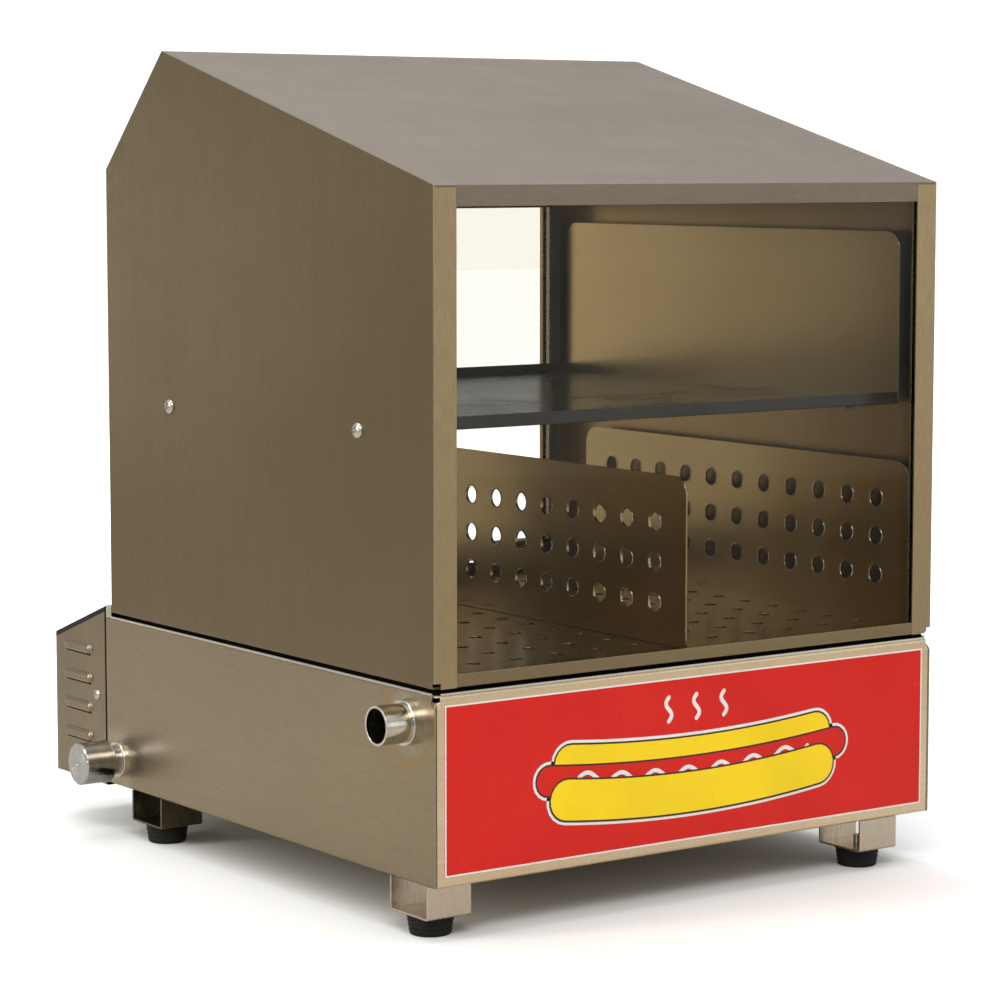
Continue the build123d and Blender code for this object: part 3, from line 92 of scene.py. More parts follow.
def middle(node):
    return (low(node) + high(node)) / 2


# ---- sizes and colours to change
class SteamerSizes(bpy.types.PropertyGroup):
    """Sizes of the added detail."""

    screw_head_radius: FloatProperty(
        name="Screw head radius", description="Radius of the shelf screws' heads",
        default=5.0 * MM, unit="LENGTH")
    screw_head_height: FloatProperty(
        name="Screw head height", description="Height of the shelf screws' heads",
        default=2.8 * MM, unit="LENGTH")
    box_screw_radius: FloatProperty(
        name="Box screw radius", description="Radius of the control box screws' heads",
        default=3.8 * MM, unit="LENGTH")
    thread_pitch: FloatProperty(
        name="Thread pitch", description="Distance between turns of the shelf screws' thread",
        default=0.8 * MM, unit="LENGTH")
    cap_thread_pitch: FloatProperty(
        name="Drain thread pitch", description="Distance between turns of the drain pipe's thread",
        default=1.8 * MM, unit="LENGTH")
    hole_rim: FloatProperty(
        name="Hole rim", description="Half thickness of the pressed rim round a steam hole",
        default=0.78 * MM, unit="LENGTH")
    fold_radius: FloatProperty(
        name="Fold radius", description="Radius of the rolled edge along the top of the base",
        default=1.0 * MM, unit="LENGTH")
    fold_gap: FloatProperty(
        name="Fold gap", description="How far the rolled edge stops short of each corner",
        default=4.0 * MM, unit="LENGTH")
    foot_rib: FloatProperty(
        name="Foot rib", description="Half thickness of the rings round a rubber foot",
        default=0.55 * MM, unit="LENGTH")
    decal_border: FloatProperty(
        name="Decal border", description="Width of the pale line round the decal",
        default=1.1 * MM, unit="LENGTH")
    dial_marks: IntProperty(
        name="Dial marks", description="Number of marks round the thermostat dial", default=27)


class SteamerColours(bpy.types.PropertyGroup):
    """Base colours of the finishes."""

    cabinet: FloatVectorProperty(
        name="Cabinet steel", description="Brushed steel of the cabinet's sides",
        subtype="COLOR", default=(0.222, 0.170, 0.100))
    base: FloatVectorProperty(
        name="Base steel", description="Brushed steel of the base and rails",
        subtype="COLOR", default=(0.60, 0.49, 0.34))
    roof: FloatVectorProperty(
        name="Roof steel", description="Satin steel of the roof",
        subtype="COLOR", default=(0.292, 0.242, 0.194))
    tray: FloatVectorProperty(
        name="Tray steel", description="Sheet steel of the trays",
        subtype="COLOR", default=(0.52, 0.385, 0.20))
    bright: FloatVectorProperty(
        name="Bright steel", description="Turned and folded bright pieces",
        subtype="COLOR", default=(0.70, 0.66, 0.58))
    decal_red: FloatVectorProperty(
        name="Decal red", description="Printed red of the front panel",
        subtype="COLOR", default=(0.69, 0.014, 0.009))
    decal_yellow: FloatVectorProperty(
        name="Decal yellow", description="Printed yellow of the pictogram",
        subtype="COLOR", default=(1.0, 0.71, 0.0))


def sizes():
    return bpy.context.scene.steamer_sizes


def colours():
    return bpy.context.scene.steamer_colours


# ---- material wiring
class Finish:
    """Short-hand for wiring one finish."""

    def __init__(self, name):
        self.material = bpy.data.materials.new(name)
        self.material.use_nodes = True
        self.tree = self.material.node_tree
        self.tree.nodes.clear()
        self.output = self.tree.nodes.new("ShaderNodeOutputMaterial")
        self.shader = self.tree.nodes.new("ShaderNodeBsdfPrincipled")
        self.link(self.shader.outputs["BSDF"], self.output.inputs["Surface"])
        self.object = self.tree.nodes.new("ShaderNodeTexCoord").outputs["Object"]
        MATERIALS[name] = self.material

    def link(self, source, target):
        self.tree.links.new(source, target)

    def feed(self, socket, value):
        if isinstance(value, bpy.types.NodeSocket):
            self.link(value, socket)
        elif value is not None:
            socket.default_value = value

    def node(self, kind, settings=None, **inputs):
        node = self.tree.nodes.new(kind)
        for key, value in (settings or {}).items():
            setattr(node, key, value)
        for key, value in inputs.items():
            numbered = key[0] == "i" and key[1:].isdigit()
            self.feed(node.inputs[int(key[1:]) if numbered else key], value)
        return node

    def noise(self, stretch, detail=3.0, offset=(0, 0, 0)):
        """Noise whose cells are 1/stretch metres long on each axis."""
        place = self.node("ShaderNodeMapping", Vector=self.object, Scale=stretch, Location=offset)
        cells = self.node("ShaderNodeTexNoise", Vector=place.outputs[0], Scale=1.0, Detail=detail)
        return cells.outputs["Fac"]

    def scale(self, value, from_low, from_high, to_low=0.0, to_high=1.0):
        return self.node("ShaderNodeMapRange", None, i0=value, i1=from_low, i2=from_high,
                         i3=to_low, i4=to_high).outputs[0]

    def sum(self, a, b, operation="ADD"):
        return self.node("ShaderNodeMath", {"operation": operation}, i0=a, i1=b).outputs[0]

    def times(self, a, b):
        return self.sum(a, b, "MULTIPLY")

    def vector(self, operation, a, b=None):
        return self.node("ShaderNodeVectorMath", {"operation": operation}, i0=a, i1=b).outputs

    def axis(self, letter):
        return self.node("ShaderNodeSeparateXYZ", None, Vector=self.object).outputs[letter]

    def mix(self, factor, a, b, blend="MIX"):
        node = self.tree.nodes.new("ShaderNodeMix")
        node.data_type = "RGBA"
        node.blend_type = blend
        self.feed(node.inputs[0], factor)
        self.feed(node.inputs[6], a)
        self.feed(node.inputs[7], b)
        return node.outputs[2]

    def bump(self, height, strength, distance, normal=None):
        node = self.node("ShaderNodeBump", None, Strength=strength, Distance=distance, Height=height)
        self.feed(node.inputs["Normal"], normal)
        return node.outputs[0]

    def edges(self, radius):
        """Rounded normal, and a mask that is 1 on edges and 0 on flats."""
        soft = self.node("ShaderNodeBevel", {"samples": 4}, Radius=radius).outputs[0]
        flat = self.node("ShaderNodeNewGeometry").outputs["True Normal"]
        same = self.vector("DOT_PRODUCT", soft, flat)["Value"]
        return soft, self.scale(same, 0.995, 0.80)

    def near(self, centre, inner, outer):
        """1 within the inner distance of a point, 0 beyond the outer one."""
        gap = self.vector("DISTANCE", self.object, tuple(centre))["Value"]
        return self.scale(gap, inner, outer, 1.0, 0.0)

    def wear(self, base, wear_stain_and_highlight, tone):
        """Base colour that turns to another tone where the mask is 1."""
        self.link(self.mix(wear_stain_and_highlight, base, colour(tone)), self.shader.inputs["Base Color"])


def colour(value, factor=1.0):
    return (value[0] * factor, value[1] * factor, value[2] * factor, 1.0)


AXES = {"X": (0, 1, 1), "Y": (1, 0, 1), "Z": (1, 1, 0)}


def brushed(name, tone, grain="Z", rough=0.28, streaks=0.05, smudges=0.05, cloud=0.06, edge=0.35,
            lift=0.03, front=None, outer=None, fine_rough=0.06):
    """Brushed steel: fine scratches along one axis, broad soft streaks, smudges, and bright edges that
    are partly wear and partly painted highlight.
    """
    f = Finish(name)
    across = AXES[grain]
    fine = f.noise([1500.0 * a + 90.0 * (1 - a) for a in across], 4.0)
    broad = f.noise([70.0 * a + 2.2 * (1 - a) for a in across], 2.0, (3.1, 1.7, 0.4))
    patches = f.noise((7.0, 7.0, 7.0), 4.0, (0.7, 4.2, 2.3))
    smears = f.noise((31.0, 24.0, 38.0), 5.0, (5.0, 0.3, 1.1))
    toned = f.mix(f.scale(broad, 0.3, 0.7), colour(tone, 1.0 - streaks), colour(tone, 1.0 + streaks))
    clouded = f.mix(f.scale(patches, 0.32, 0.68), colour(WHITE, 1.0 - cloud), colour(WHITE))
    mixed = f.mix(1.0, toned, clouded, "MULTIPLY")
    # Painted light: all but the outer face of the sheet is painted lighter, as if lit inside the cabinet.
    if outer is not None:
        inner_painted_light = f.scale(f.axis("X"), outer - 0.4 * MM, outer - 0.2 * MM, 1.0, 0.0)
        mixed = f.mix(inner_painted_light, mixed, colour([v * gain for v, gain in zip(tone, INSIDE_PAINTED_LIGHT)]))
    # Painted light: the front 1.5 mm of the sheet, its flange, is painted lighter.
    if front is not None:
        flange = f.scale(f.axis("Y"), front, front + 1.5 * MM, 1.0, 0.0)
        mixed = f.mix(flange, mixed, colour(tone, FLANGE_PAINTED_LIGHT))
    scratched = f.mix(f.scale(fine, 0.35, 0.7, 0.0, 0.22), mixed, colour(tone, 0.55))
    soft, wear_stain_and_highlight = f.edges(0.5 * MM)
    # Painted highlight, partly wear: the edges are lightened towards a pale steel tone.
    f.wear(scratched, f.times(wear_stain_and_highlight, edge), (0.95, 0.90, 0.80))
    f.shader.inputs["Metallic"].default_value = 1.0
    smeared = f.scale(smears, 0.45, 0.75, 0.0, smudges)
    hairline = f.scale(fine, 0.3, 0.7, rough - fine_rough, rough + fine_rough)
    f.link(f.sum(hairline, smeared), f.shader.inputs["Roughness"])
    f.link(f.bump(fine, lift, 0.3 * MM, soft), f.shader.inputs["Normal"])
    return f


def turned(name, tone, axis, centre, rough=0.14):
    """Turned steel with fine rings about an axis through a point."""
    f = Finish(name)
    off = [0.0 if letter == axis else 1.0 for letter in "XYZ"]
    moved = f.vector("SUBTRACT", f.object, tuple(centre))[0]
    reach = f.vector("LENGTH", f.vector("MULTIPLY", moved, tuple(off))[0])["Value"]
    rings = f.sum(f.times(reach, 9000.0), None, "SINE")
    spots = f.noise((160.0, 160.0, 160.0), 4.0)
    along = f.noise([60.0 * a + 700.0 * (1 - a) for a in off], 3.0)
    shade = f.mix(f.scale(spots, 0.35, 0.65), colour(tone, 0.86), colour(tone, 1.05))
    lined = f.mix(f.scale(rings, -1.0, 1.0, 0.0, 0.16), shade, colour(tone, 0.5))
    soft, wear_stain_and_highlight = f.edges(0.4 * MM)
    # Painted highlight, partly wear: the edges are lightened towards a pale steel tone.
    f.wear(lined, f.times(wear_stain_and_highlight, 0.5), (1.0, 0.96, 0.88))
    f.shader.inputs["Metallic"].default_value = 1.0
    f.link(f.scale(along, 0.3, 0.7, rough - 0.03, rough + 0.08), f.shader.inputs["Roughness"])
    f.link(f.bump(rings, 0.05, 0.1 * MM, soft), f.shader.inputs["Normal"])
    return f


def moulded(name, tone, rough, grain=900.0, lift=0.15, spread=0.25, metal=0.0, edge=0.15, gloss=0.5):
    """Moulded, printed or coated surface with a fine even grain and lighter edges, partly faint wear and
    partly painted highlight.
    """
    f = Finish(name)
    pores = f.noise((grain, grain, grain), 3.0)
    patches = f.noise((18.0, 18.0, 18.0), 4.0, (1.3, 0.2, 2.2))
    body = f.mix(f.scale(patches, 0.35, 0.65), colour(tone, 1.0 - spread), colour(tone, 1.0 + spread))
    soft, wear_stain_and_highlight = f.edges(0.4 * MM)
    # Painted highlight, partly wear: the edges are lightened towards a paler copy of the tone.
    f.wear(body, f.times(wear_stain_and_highlight, edge), [min(1.0, c * 2.0 + 0.06) for c in tone])
    f.shader.inputs["Metallic"].default_value = metal
    f.shader.inputs["Specular IOR Level"].default_value = gloss
    f.link(f.scale(patches, 0.3, 0.7, rough - 0.07, rough + 0.08), f.shader.inputs["Roughness"])
    f.link(f.bump(pores, lift, 0.15 * MM, soft), f.shader.inputs["Normal"])
    return f


def glass(name, tint, haze):
    """Clear plate glass: tinted clear film, mirror reflection by angle, a trace of wiped haze."""
    f = Finish(name)
    f.tree.nodes.remove(f.shader)
    clear = f.node("ShaderNodeBsdfTransparent", None, Color=tint)
    mirror = f.node("ShaderNodeBsdfGlossy", None, Color=(0.26, 0.26, 0.25, 1.0), Roughness=0.03)
    facing = f.node("ShaderNodeLayerWeight", None, Blend=0.5).outputs["Facing"]
    straight_on, glancing = 0.035, 0.85
    angle = f.scale(f.sum(facing, 5.0, "POWER"), 0.0, 1.0, straight_on, glancing)
    pane = f.node("ShaderNodeMixShader", None, i0=angle, i1=clear.outputs[0], i2=mirror.outputs[0])
    film = f.node("ShaderNodeBsdfDiffuse", None, Color=(0.75, 0.76, 0.72, 1.0))
    wiped = f.noise((16.0, 30.0, 9.0), 5.0, (2.0, 1.0, 0.6))
    amount = f.scale(wiped, 0.42, 0.8, 0.0, haze)
    whole = f.node("ShaderNodeMixShader", None, i0=amount, i1=pane.outputs[0], i2=film.outputs[0])
    f.link(whole.outputs[0], f.output.inputs["Surface"])
    return f


def wear(node, finish):
    """Give a CAD node its finish."""
    mesh = NODES[node].data
    mesh.materials.clear()
    mesh.materials.append(MATERIALS[finish])


# ---- meshes
def finished(name, mesh, body, finish):
    """Link a finished mesh as a piece that rides on a body."""
    mesh.name = name
    mesh.materials.clear()
    mesh.materials.append(MATERIALS[finish])
    mesh.polygons.foreach_set("use_smooth", [True] * len(mesh.polygons))
    mesh.set_sharp_from_angle(angle=SMOOTH_ANGLE)
    piece = bpy.data.objects.new(name, mesh)
    bpy.context.scene.collection.objects.link(piece)
    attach(piece, body)
    return piece


def mesh_of(form, outward=True):
    """Turn a bmesh into a mesh with its faces pointing outwards."""
    if outward:
        bmesh.ops.recalc_face_normals(form, faces=form.faces)
    mesh = bpy.data.meshes.new("piece")
    form.to_mesh(mesh)
    form.free()
    return mesh


def slab(form, outline, back, front):
    """Closed flat shape in the x-z plane, between two y levels."""
    rear = [form.verts.new((x, back, z)) for x, z in outline]
    near = [form.verts.new((x, front, z)) for x, z in outline]
    form.faces.new(rear)
    form.faces.new(list(reversed(near)))
    count = len(outline)
    for index in range(count):
        nxt = (index + 1) % count
        form.faces.new((rear[index], near[index], near[nxt], rear[nxt]))


def ribbon(line, width, ends=10):
    """Outline of a band of even width with round ends along a line of x-z points."""
    half = width / 2
    left, right = [], []
    for index, point in enumerate(line):
        before = line[max(index - 1, 0)]
        after = line[min(index + 1, len(line) - 1)]
        dx, dz = after[0] - before[0], after[1] - before[1]
        size = math.hypot(dx, dz)
        nx, nz = -dz / size * half, dx / size * half
        left.append((point[0] + nx, point[1] + nz))
        right.append((point[0] - nx, point[1] - nz))
    outline = list(left)
    for end, side in ((line[-1], left[-1]), (line[0], right[0])):
        start = math.atan2(side[1] - end[1], side[0] - end[0])
        arc = [start - math.pi * step / ends for step in range(1, ends)]
        outline += [(end[0] + half * math.cos(a), end[1] + half * math.sin(a)) for a in arc]
        if end == line[-1]:
            outline += list(reversed(right))
    return outline


# ---- Geometry Nodes wiring
class Graph:
    """Short-hand for building one Geometry Nodes tree with named inputs."""

    def __init__(self, name):
        self.tree = bpy.data.node_groups.new(name, "GeometryNodeTree")
        self.tree.interface.new_socket("Places", in_out="INPUT", socket_type="NodeSocketGeometry")
        self.tree.interface.new_socket("Result", in_out="OUTPUT", socket_type="NodeSocketGeometry")
        self.start = self.tree.nodes.new("NodeGroupInput")
        self.end = self.tree.nodes.new("NodeGroupOutput")

    def input(self, name, kind="NodeSocketFloat"):
        self.tree.interface.new_socket(name, in_out="INPUT", socket_type=kind)
        return self.start.outputs[name]

    def feed(self, socket, value):
        if isinstance(value, bpy.types.NodeSocket):
            self.tree.links.new(value, socket)
        else:
            socket.default_value = value

    def node(self, kind, settings=None, inputs=None):
        node = self.tree.nodes.new(kind)
        for key, value in (settings or {}).items():
            setattr(node, key, value)
        for key, value in (inputs or {}).items():
            for one in value if isinstance(value, list) else [value]:
                self.feed(node.inputs[key], one)
        return node

    def out(self, kind, settings=None, inputs=None):
        """First output of a new node."""
        return self.node(kind, settings, inputs).outputs[0]

    def math(self, operation, a, b):
        return self.out("ShaderNodeMath", {"operation": operation}, {0: a, 1: b})

    def times(self, a, b):
        return self.math("MULTIPLY", a, b)

    def vector(self, x, y, z):
        return self.out("ShaderNodeCombineXYZ", None, {0: x, 1: y, 2: z})

    def cube(self, x, y, z, lift):
        body = self.out("GeometryNodeMeshCube", None, {"Size": self.vector(x, y, z)})
        return self.moved(body, self.vector(0.0, 0.0, lift))

    def moved(self, shape, by, grow=(1, 1, 1)):
        return self.out("GeometryNodeTransform", None,
                        {"Geometry": shape, "Translation": by, "Scale": grow})

    def joined(self, *shapes):
        return self.out("GeometryNodeJoinGeometry", None, {0: list(reversed(shapes))})

    def circle(self, resolution, radius):
        return self.out("GeometryNodeCurvePrimitiveCircle", {"mode": "RADIUS"},
                        {"Resolution": resolution, "Radius": radius})

    def ridge(self, resolution, radius, length, pitch, share):
        """Helical ridge along z, whose profile is a share of the pitch."""
        spiral = self.out("GeometryNodeCurveSpiral", None, {
            "Resolution": resolution, "Rotations": self.math("DIVIDE", length, pitch),
            "Start Radius": radius, "End Radius": radius, "Height": length})
        return self.out("GeometryNodeCurveToMesh", None, {
            "Curve": spiral, "Profile Curve": self.circle(4, self.times(pitch, share)),
            "Fill Caps": True})

    def attribute(self, name, kind):
        return self.out("GeometryNodeInputNamedAttribute", {"data_type": kind}, {"Name": name})

    def aimed(self, seed=None):
        """Rotation that points z as the place says, with a seeded roll about it."""
        turn = self.out("FunctionNodeAlignRotationToVector", {"axis": "Z"},
                        {"Vector": self.attribute("aim", "FLOAT_VECTOR")})
        if seed is None:
            return turn
        spin = self.node("FunctionNodeRandomValue", {"data_type": "FLOAT"},
                         {2: 0.0, 3: math.pi, "Seed": seed})
        roll = self.out("FunctionNodeAxisAngleToRotation", None,
                        {"Axis": (0, 0, 1), "Angle": spin.outputs[1]})
        both = {"Rotation": turn, "Rotate By": roll}
        return self.out("FunctionNodeRotateRotation", {"rotation_space": "LOCAL"}, both)

    def on_places(self, shape, seed=None, grow=(1, 1, 1)):
        """A copy of the shape on every place."""
        return self.out("GeometryNodeInstanceOnPoints", None, {
            "Points": self.start.outputs["Places"], "Instance": shape,
            "Rotation": self.aimed(seed), "Scale": grow})

    def real(self, shape):
        return self.out("GeometryNodeRealizeInstances", None, {0: shape})

    def close(self, shape, finish):
        """Make the copies real, give them their finish and end the tree."""
        painted = {"Geometry": self.real(shape), "Material": finish}
        self.feed(self.end.inputs[0], self.out("GeometryNodeSetMaterial", None, painted))
        return self.tree


def places_mesh(places):
    """Points with the direction that each one faces and its ring radius."""
    mesh = bpy.data.meshes.new("places")
    mesh.from_pydata([tuple(place[0]) for place in places], [], [])
    aims = mesh.attributes.new("aim", "FLOAT_VECTOR", "POINT")
    aims.data.foreach_set("vector", [value for place in places for value in place[1]])
    rings = mesh.attributes.new("ring_radius", "FLOAT", "POINT")
    rings.data.foreach_set("value", [place[2] if len(place) > 2 else 1.0 for place in places])
    return mesh


def grown(name, tree, places, values, body, finish):
    """Run a tree on its places and keep the result as one plain mesh."""
    holder = bpy.data.objects.new(name + "_places", places_mesh(places))
    bpy.context.scene.collection.objects.link(holder)
    modifier = holder.modifiers.new("detail", "NODES")
    modifier.node_group = tree
    values = dict(values, Finish=MATERIALS[finish])
    for item in tree.interface.items_tree:
        if item.item_type == "SOCKET" and item.in_out == "INPUT" and item.name in values:
            modifier[item.identifier] = values[item.name]
    bpy.context.view_layer.update()
    evaluated = holder.evaluated_get(bpy.context.evaluated_depsgraph_get())
    mesh = bpy.data.meshes.new_from_object(evaluated)
    bpy.data.objects.remove(holder)
    if not mesh.polygons:
        raise RuntimeError(f"{name} came out empty")
    return finished(name, mesh, body, finish)


def screw_tree():
    """Pan head with a cross recess on a threaded shank."""
    g = Graph("steamer_screw")
    head_r, head_h = g.input("Head Radius"), g.input("Head Height")
    shank_r, length = g.input("Shank Radius"), g.input("Shank Length")
    pitch = g.input("Thread Pitch")
    finish = g.input("Finish", "NodeSocketMaterial")
    ball = g.out("GeometryNodeMeshUVSphere", None, {"Segments": 40, "Rings": 20, "Radius": 1.0})
    dome = g.moved(ball, (0, 0, 0), g.vector(head_r, head_r, head_h))
    wide, tall = g.times(head_r, 4.0), g.times(head_h, 2.0)
    under = g.cube(wide, wide, tall, g.times(head_h, -1.0))
    arm, slot = g.times(head_r, 1.15), g.times(head_r, 0.27)
    cross = [g.cube(arm, slot, head_h, head_h), g.cube(slot, arm, head_h, head_h)]
    head = g.out("GeometryNodeMeshBoolean", {"operation": "DIFFERENCE", "solver": "EXACT"},
                 {"Mesh 1": dome, "Mesh 2": [under, *cross]})
    core = g.out("GeometryNodeMeshCylinder", None,
                 {"Vertices": 28, "Radius": shank_r, "Depth": length})
    shank = g.moved(core, g.vector(0.0, 0.0, g.times(length, -0.5)))
    ridge = g.ridge(24, shank_r, length, pitch, 0.18)
    thread = g.moved(ridge, g.vector(0.0, 0.0, g.times(length, -1.0)))
    return g.close(g.on_places(g.joined(head, shank, thread), seed=11), finish)


def ring_tree():
    """Thin round ring at every place, with its own radius."""
    g = Graph("steamer_rings")
    thick = g.input("Thickness")
    around = g.input("Around", "NodeSocketInt")
    across = g.input("Across", "NodeSocketInt")
    finish = g.input("Finish", "NodeSocketMaterial")
    radius = g.attribute("ring_radius", "FLOAT")
    loops = g.real(g.on_places(g.circle(around, 1.0), grow=g.vector(radius, radius, radius)))
    rings = g.out("GeometryNodeCurveToMesh", None,
                  {"Curve": loops, "Profile Curve": g.circle(across, thick)})
    return g.close(rings, finish)


def thread_tree():
    """Helical thread along z from each place."""
    g = Graph("steamer_thread")
    radius, length, pitch = g.input("Radius"), g.input("Length"), g.input("Pitch")
    finish = g.input("Finish", "NodeSocketMaterial")
    return g.close(g.on_places(g.ridge(40, radius, length, pitch, 0.14)), finish)


def mark_tree():
    """Short bars about each place, over the dial's sweep."""
    g = Graph("steamer_dial_marks")
    count = g.input("Count", "NodeSocketInt")
    radius, bar_length = g.input("Radius"), g.input("Bar Length")
    width, rise = g.input("Bar Width"), g.input("Rise")
    finish = g.input("Finish", "NodeSocketMaterial")
    sweep = g.out("GeometryNodeCurveArc", {"mode": "RADIUS"}, {
        "Resolution": count, "Radius": radius, "Sweep Angle": math.radians(DIAL_SWEEP),
        "Start Angle": math.radians(DIAL_START - DIAL_SWEEP + 180)})
    ring = g.node("GeometryNodeCurveToPoints", {"mode": "EVALUATED"}, {"Curve": sweep})
    spot = g.out("GeometryNodeInputPosition")
    turned_out = g.out("FunctionNodeAlignRotationToVector", {"axis": "X", "pivot_axis": "Z"},
                       {"Vector": spot})
    dial = g.out("GeometryNodeInstanceOnPoints", None, {
        "Points": ring.outputs["Points"], "Instance": g.cube(bar_length, width, rise, 0.0),
        "Rotation": turned_out})
    return g.close(g.on_places(dial), finish)


# ---- reading the CAD meshes
def islands(faces):
    """Groups of the given faces that touch each other, in the order of the faces."""
    left, groups = set(faces), []
    for first in faces:
        if first not in left:
            continue
        left.discard(first)
        stack, group = [first], []
        while stack:
            face = stack.pop()
            group.append(face)
            for edge in face.edges:
                for other in edge.link_faces:
                    if other in left:
                        left.discard(other)
                        stack.append(other)
        groups.append(group)
    return groups


def corners(faces):
    """Lowest and highest corner of some faces."""
    points = [vert.co for face in faces for vert in face.verts]
    return (Vector([min(p[i] for p in points) for i in range(3)]),
            Vector([max(p[i] for p in points) for i in range(3)]))


def merged(node):
    """A CAD node's mesh with its loose triangles joined."""
    form = bmesh.new()
    form.from_mesh(NODES[node].data)
    bmesh.ops.remove_doubles(form, verts=form.verts, dist=MERGE_GAP)
    form.normal_update()
    return form


def solids_of(node):
    """Corner pair of each separate solid of a CAD node."""
    form = merged(node)
    found = [corners(group) for group in islands(form.faces)]
    form.free()
    return found


def holes_along_x(node, radius):
    """Middle, low and high end of each round hole of about this radius that runs along x."""
    form = merged(node)
    walls = [face for face in form.faces if abs(face.normal.x) < 0.05]
    found, slack = [], 0.4 * MM
    for group in islands(walls):
        small, large = corners(group)
        wide, tall = large.y - small.y, large.z - small.z
        if abs(wide - 2 * radius) < slack and abs(tall - 2 * radius) < slack:
            found.append(((small + large) / 2, small.x, large.x))
    form.free()
    return found


# ---- finishes
def make_finishes():
    c = colours()
    fill, drain = middle("fill_collar"), middle("drain_weld_ring")
    front = low("cabinet_left_side").y
    # Painted light: both cabinet sides have their front flange painted lighter, and the right side also
    # has all but its outer face painted lighter.
    brushed("cabinet_side", c.cabinet, "Z", 0.34, streaks=0.025, cloud=0.08, front=front)
    brushed("cabinet_right", c.cabinet, "Z", 0.34, streaks=0.025, cloud=0.08, front=front,
            outer=high("cabinet_right_side").x)
    # Painted light: the trim rails, glass stops and door frame take the cabinet steel painted 1.35 times
    # lighter.
    brushed("cabinet_trim", [v * 1.35 for v in c.cabinet], "X", 0.26)
    # Lit and shaded copies of the base steel, each painted for the light its faces get: the front panel
    # 1.45 times lighter, the bottom plate at 0.95, the control box cover at 0.50 in painted shade, the
    # legs lighter and cooler, and the rear left leg at 0.30 in painted shade.
    brushed("base_front", [min(1.0, v * 1.45) for v in c.base], "X", 0.27)
    brushed("rail", [v * 0.95 for v in c.base], "X", 0.25)
    brushed("roof", c.roof, "X", 0.42, streaks=0.03, smudges=0.05, cloud=0.05)
    brushed("box_cover", [v * 0.50 for v in c.base], "Z", 0.32, cloud=0.10)
    brushed("leg", [min(1.0, v * k) for v, k in zip(c.base, (1.15, 1.24, 1.48))], "Z", 0.28)
    brushed("leg_shaded", [v * 0.30 for v in c.base], "Z", 0.26)
    brushed("tray", c.tray, "Y", 0.24, streaks=0.02, cloud=0.06, smudges=0.03, lift=0.0, fine_rough=0.01)
    brushed("tank", [v * 0.8 for v in c.tray], "Y", 0.38, cloud=0.3, smudges=0.3, lift=0.01)
    brushed("bright_fold", c.bright, "X", 0.18)
    # Painted shade: the base's side and rear sheets take the base steel darkened to 0.58.
    side = brushed("base_side", [v * 0.58 for v in c.base], "Y", 0.33, streaks=0.02, cloud=0.07)
    base = side.shader.inputs["Base Color"].links[0].from_socket
    ragged = side.noise((120.0, 120.0, 120.0), 4.0, (2.0, 8.0, 1.0))
    warm = side.sum(side.near(fill, 14 * MM, 24 * MM), side.near(drain, 13 * MM, 26 * MM), "MAXIMUM")
    stain = side.times(warm, side.scale(ragged, 0.35, 0.65, 0.25, 1.0))
    ring = side.sum(side.near(fill, 20 * MM, 26 * MM), side.near(fill, 26 * MM, 33 * MM), "SUBTRACT")
    browned = side.mix(side.times(side.times(ring, -1.0), 0.45), base, colour((0.42, 0.27, 0.12)))
    side.wear(browned, side.times(stain, 0.55), (0.62, 0.55, 0.42))
    turned("pipe_turned", c.bright, "X", fill, 0.12)
    turned("drain_turned", (0.52, 0.52, 0.52), "X", drain, 0.12)
    turned("weld_bead", [v * 1.1 for v in c.bright], "X", drain, 0.22)
    moulded("screw_metal", [v * 0.9 for v in c.bright], 0.22, 1500.0, 0.05, 0.12, 1.0, 0.5)
    moulded("heater_metal", (0.16, 0.155, 0.15), 0.38, 700.0, 0.2, 0.35, 1.0)
    moulded("copper_bulb", (0.62, 0.33, 0.20), 0.30, 700.0, 0.1, 0.3, 1.0)
    moulded("tray_coating", (0.011, 0.0105, 0.010), 0.24, 1800.0, 0.02, 0.3, 0.0, 0.9)
    # Near black for the control box lid, a dark band along the top edge of the box.
    moulded("lid_near_black", (0.004, 0.004, 0.004), 0.30, 900.0, 0.04, 0.3, edge=0.04, gloss=0.2)
    moulded("rubber_black", (0.009, 0.0088, 0.0085), 0.55, 1300.0, 0.2, 0.4, gloss=0.25)
    # Painted shade, partly real black seals: near black, darker than the rubber, so the seams at the
    # gasket, glass tape and control box seal read as shaded gaps.
    moulded("seam_painted_shade_black", (0.0025, 0.0025, 0.0025), 0.7, 1300.0, 0.1, 0.3, edge=0.0, gloss=0.05)
    moulded("silicone_grey", (0.20, 0.20, 0.19), 0.55, 900.0, 0.15, 0.15)
    moulded("plastic_black", (0.014, 0.014, 0.014), 0.36, 1500.0, 0.15, 0.3)
    moulded("phenolic_black", (0.012, 0.010, 0.009), 0.28, 800.0, 0.12, 0.3)
    moulded("magnet", (0.05, 0.045, 0.045), 0.6, 700.0, 0.3, 0.3)
    moulded("dial_silver", (0.55, 0.55, 0.54), 0.34, 1500.0, 0.05, 0.08, 0.7)
    moulded("decal_red", c.decal_red, 0.24, 700.0, 0.03, 0.04, gloss=0.3)
    moulded("decal_yellow", c.decal_yellow, 0.24, 700.0, 0.03, 0.05)
    moulded("decal_white", (0.86, 0.86, 0.84), 0.26, 700.0, 0.03, 0.04)
    moulded("decal_dark", (0.05, 0.012, 0.01), 0.26, 700.0, 0.03, 0.2)
    moulded("mark_white", (0.80, 0.80, 0.78), 0.4, 900.0, 0.05, 0.06)
    moulded("mark_black", (0.015, 0.015, 0.015), 0.4, 900.0, 0.05, 0.2)
    lamp = moulded("lamp_amber", (0.90, 0.28, 0.02), 0.14, 500.0, 0.1, 0.12)
    lamp.shader.inputs["Transmission Weight"].default_value = 0.3
    glass("glass_front", (0.955, 0.955, 0.94, 1.0), 0.008)
    glass("glass_door", (0.96, 0.95, 0.93, 1.0), 0.02)


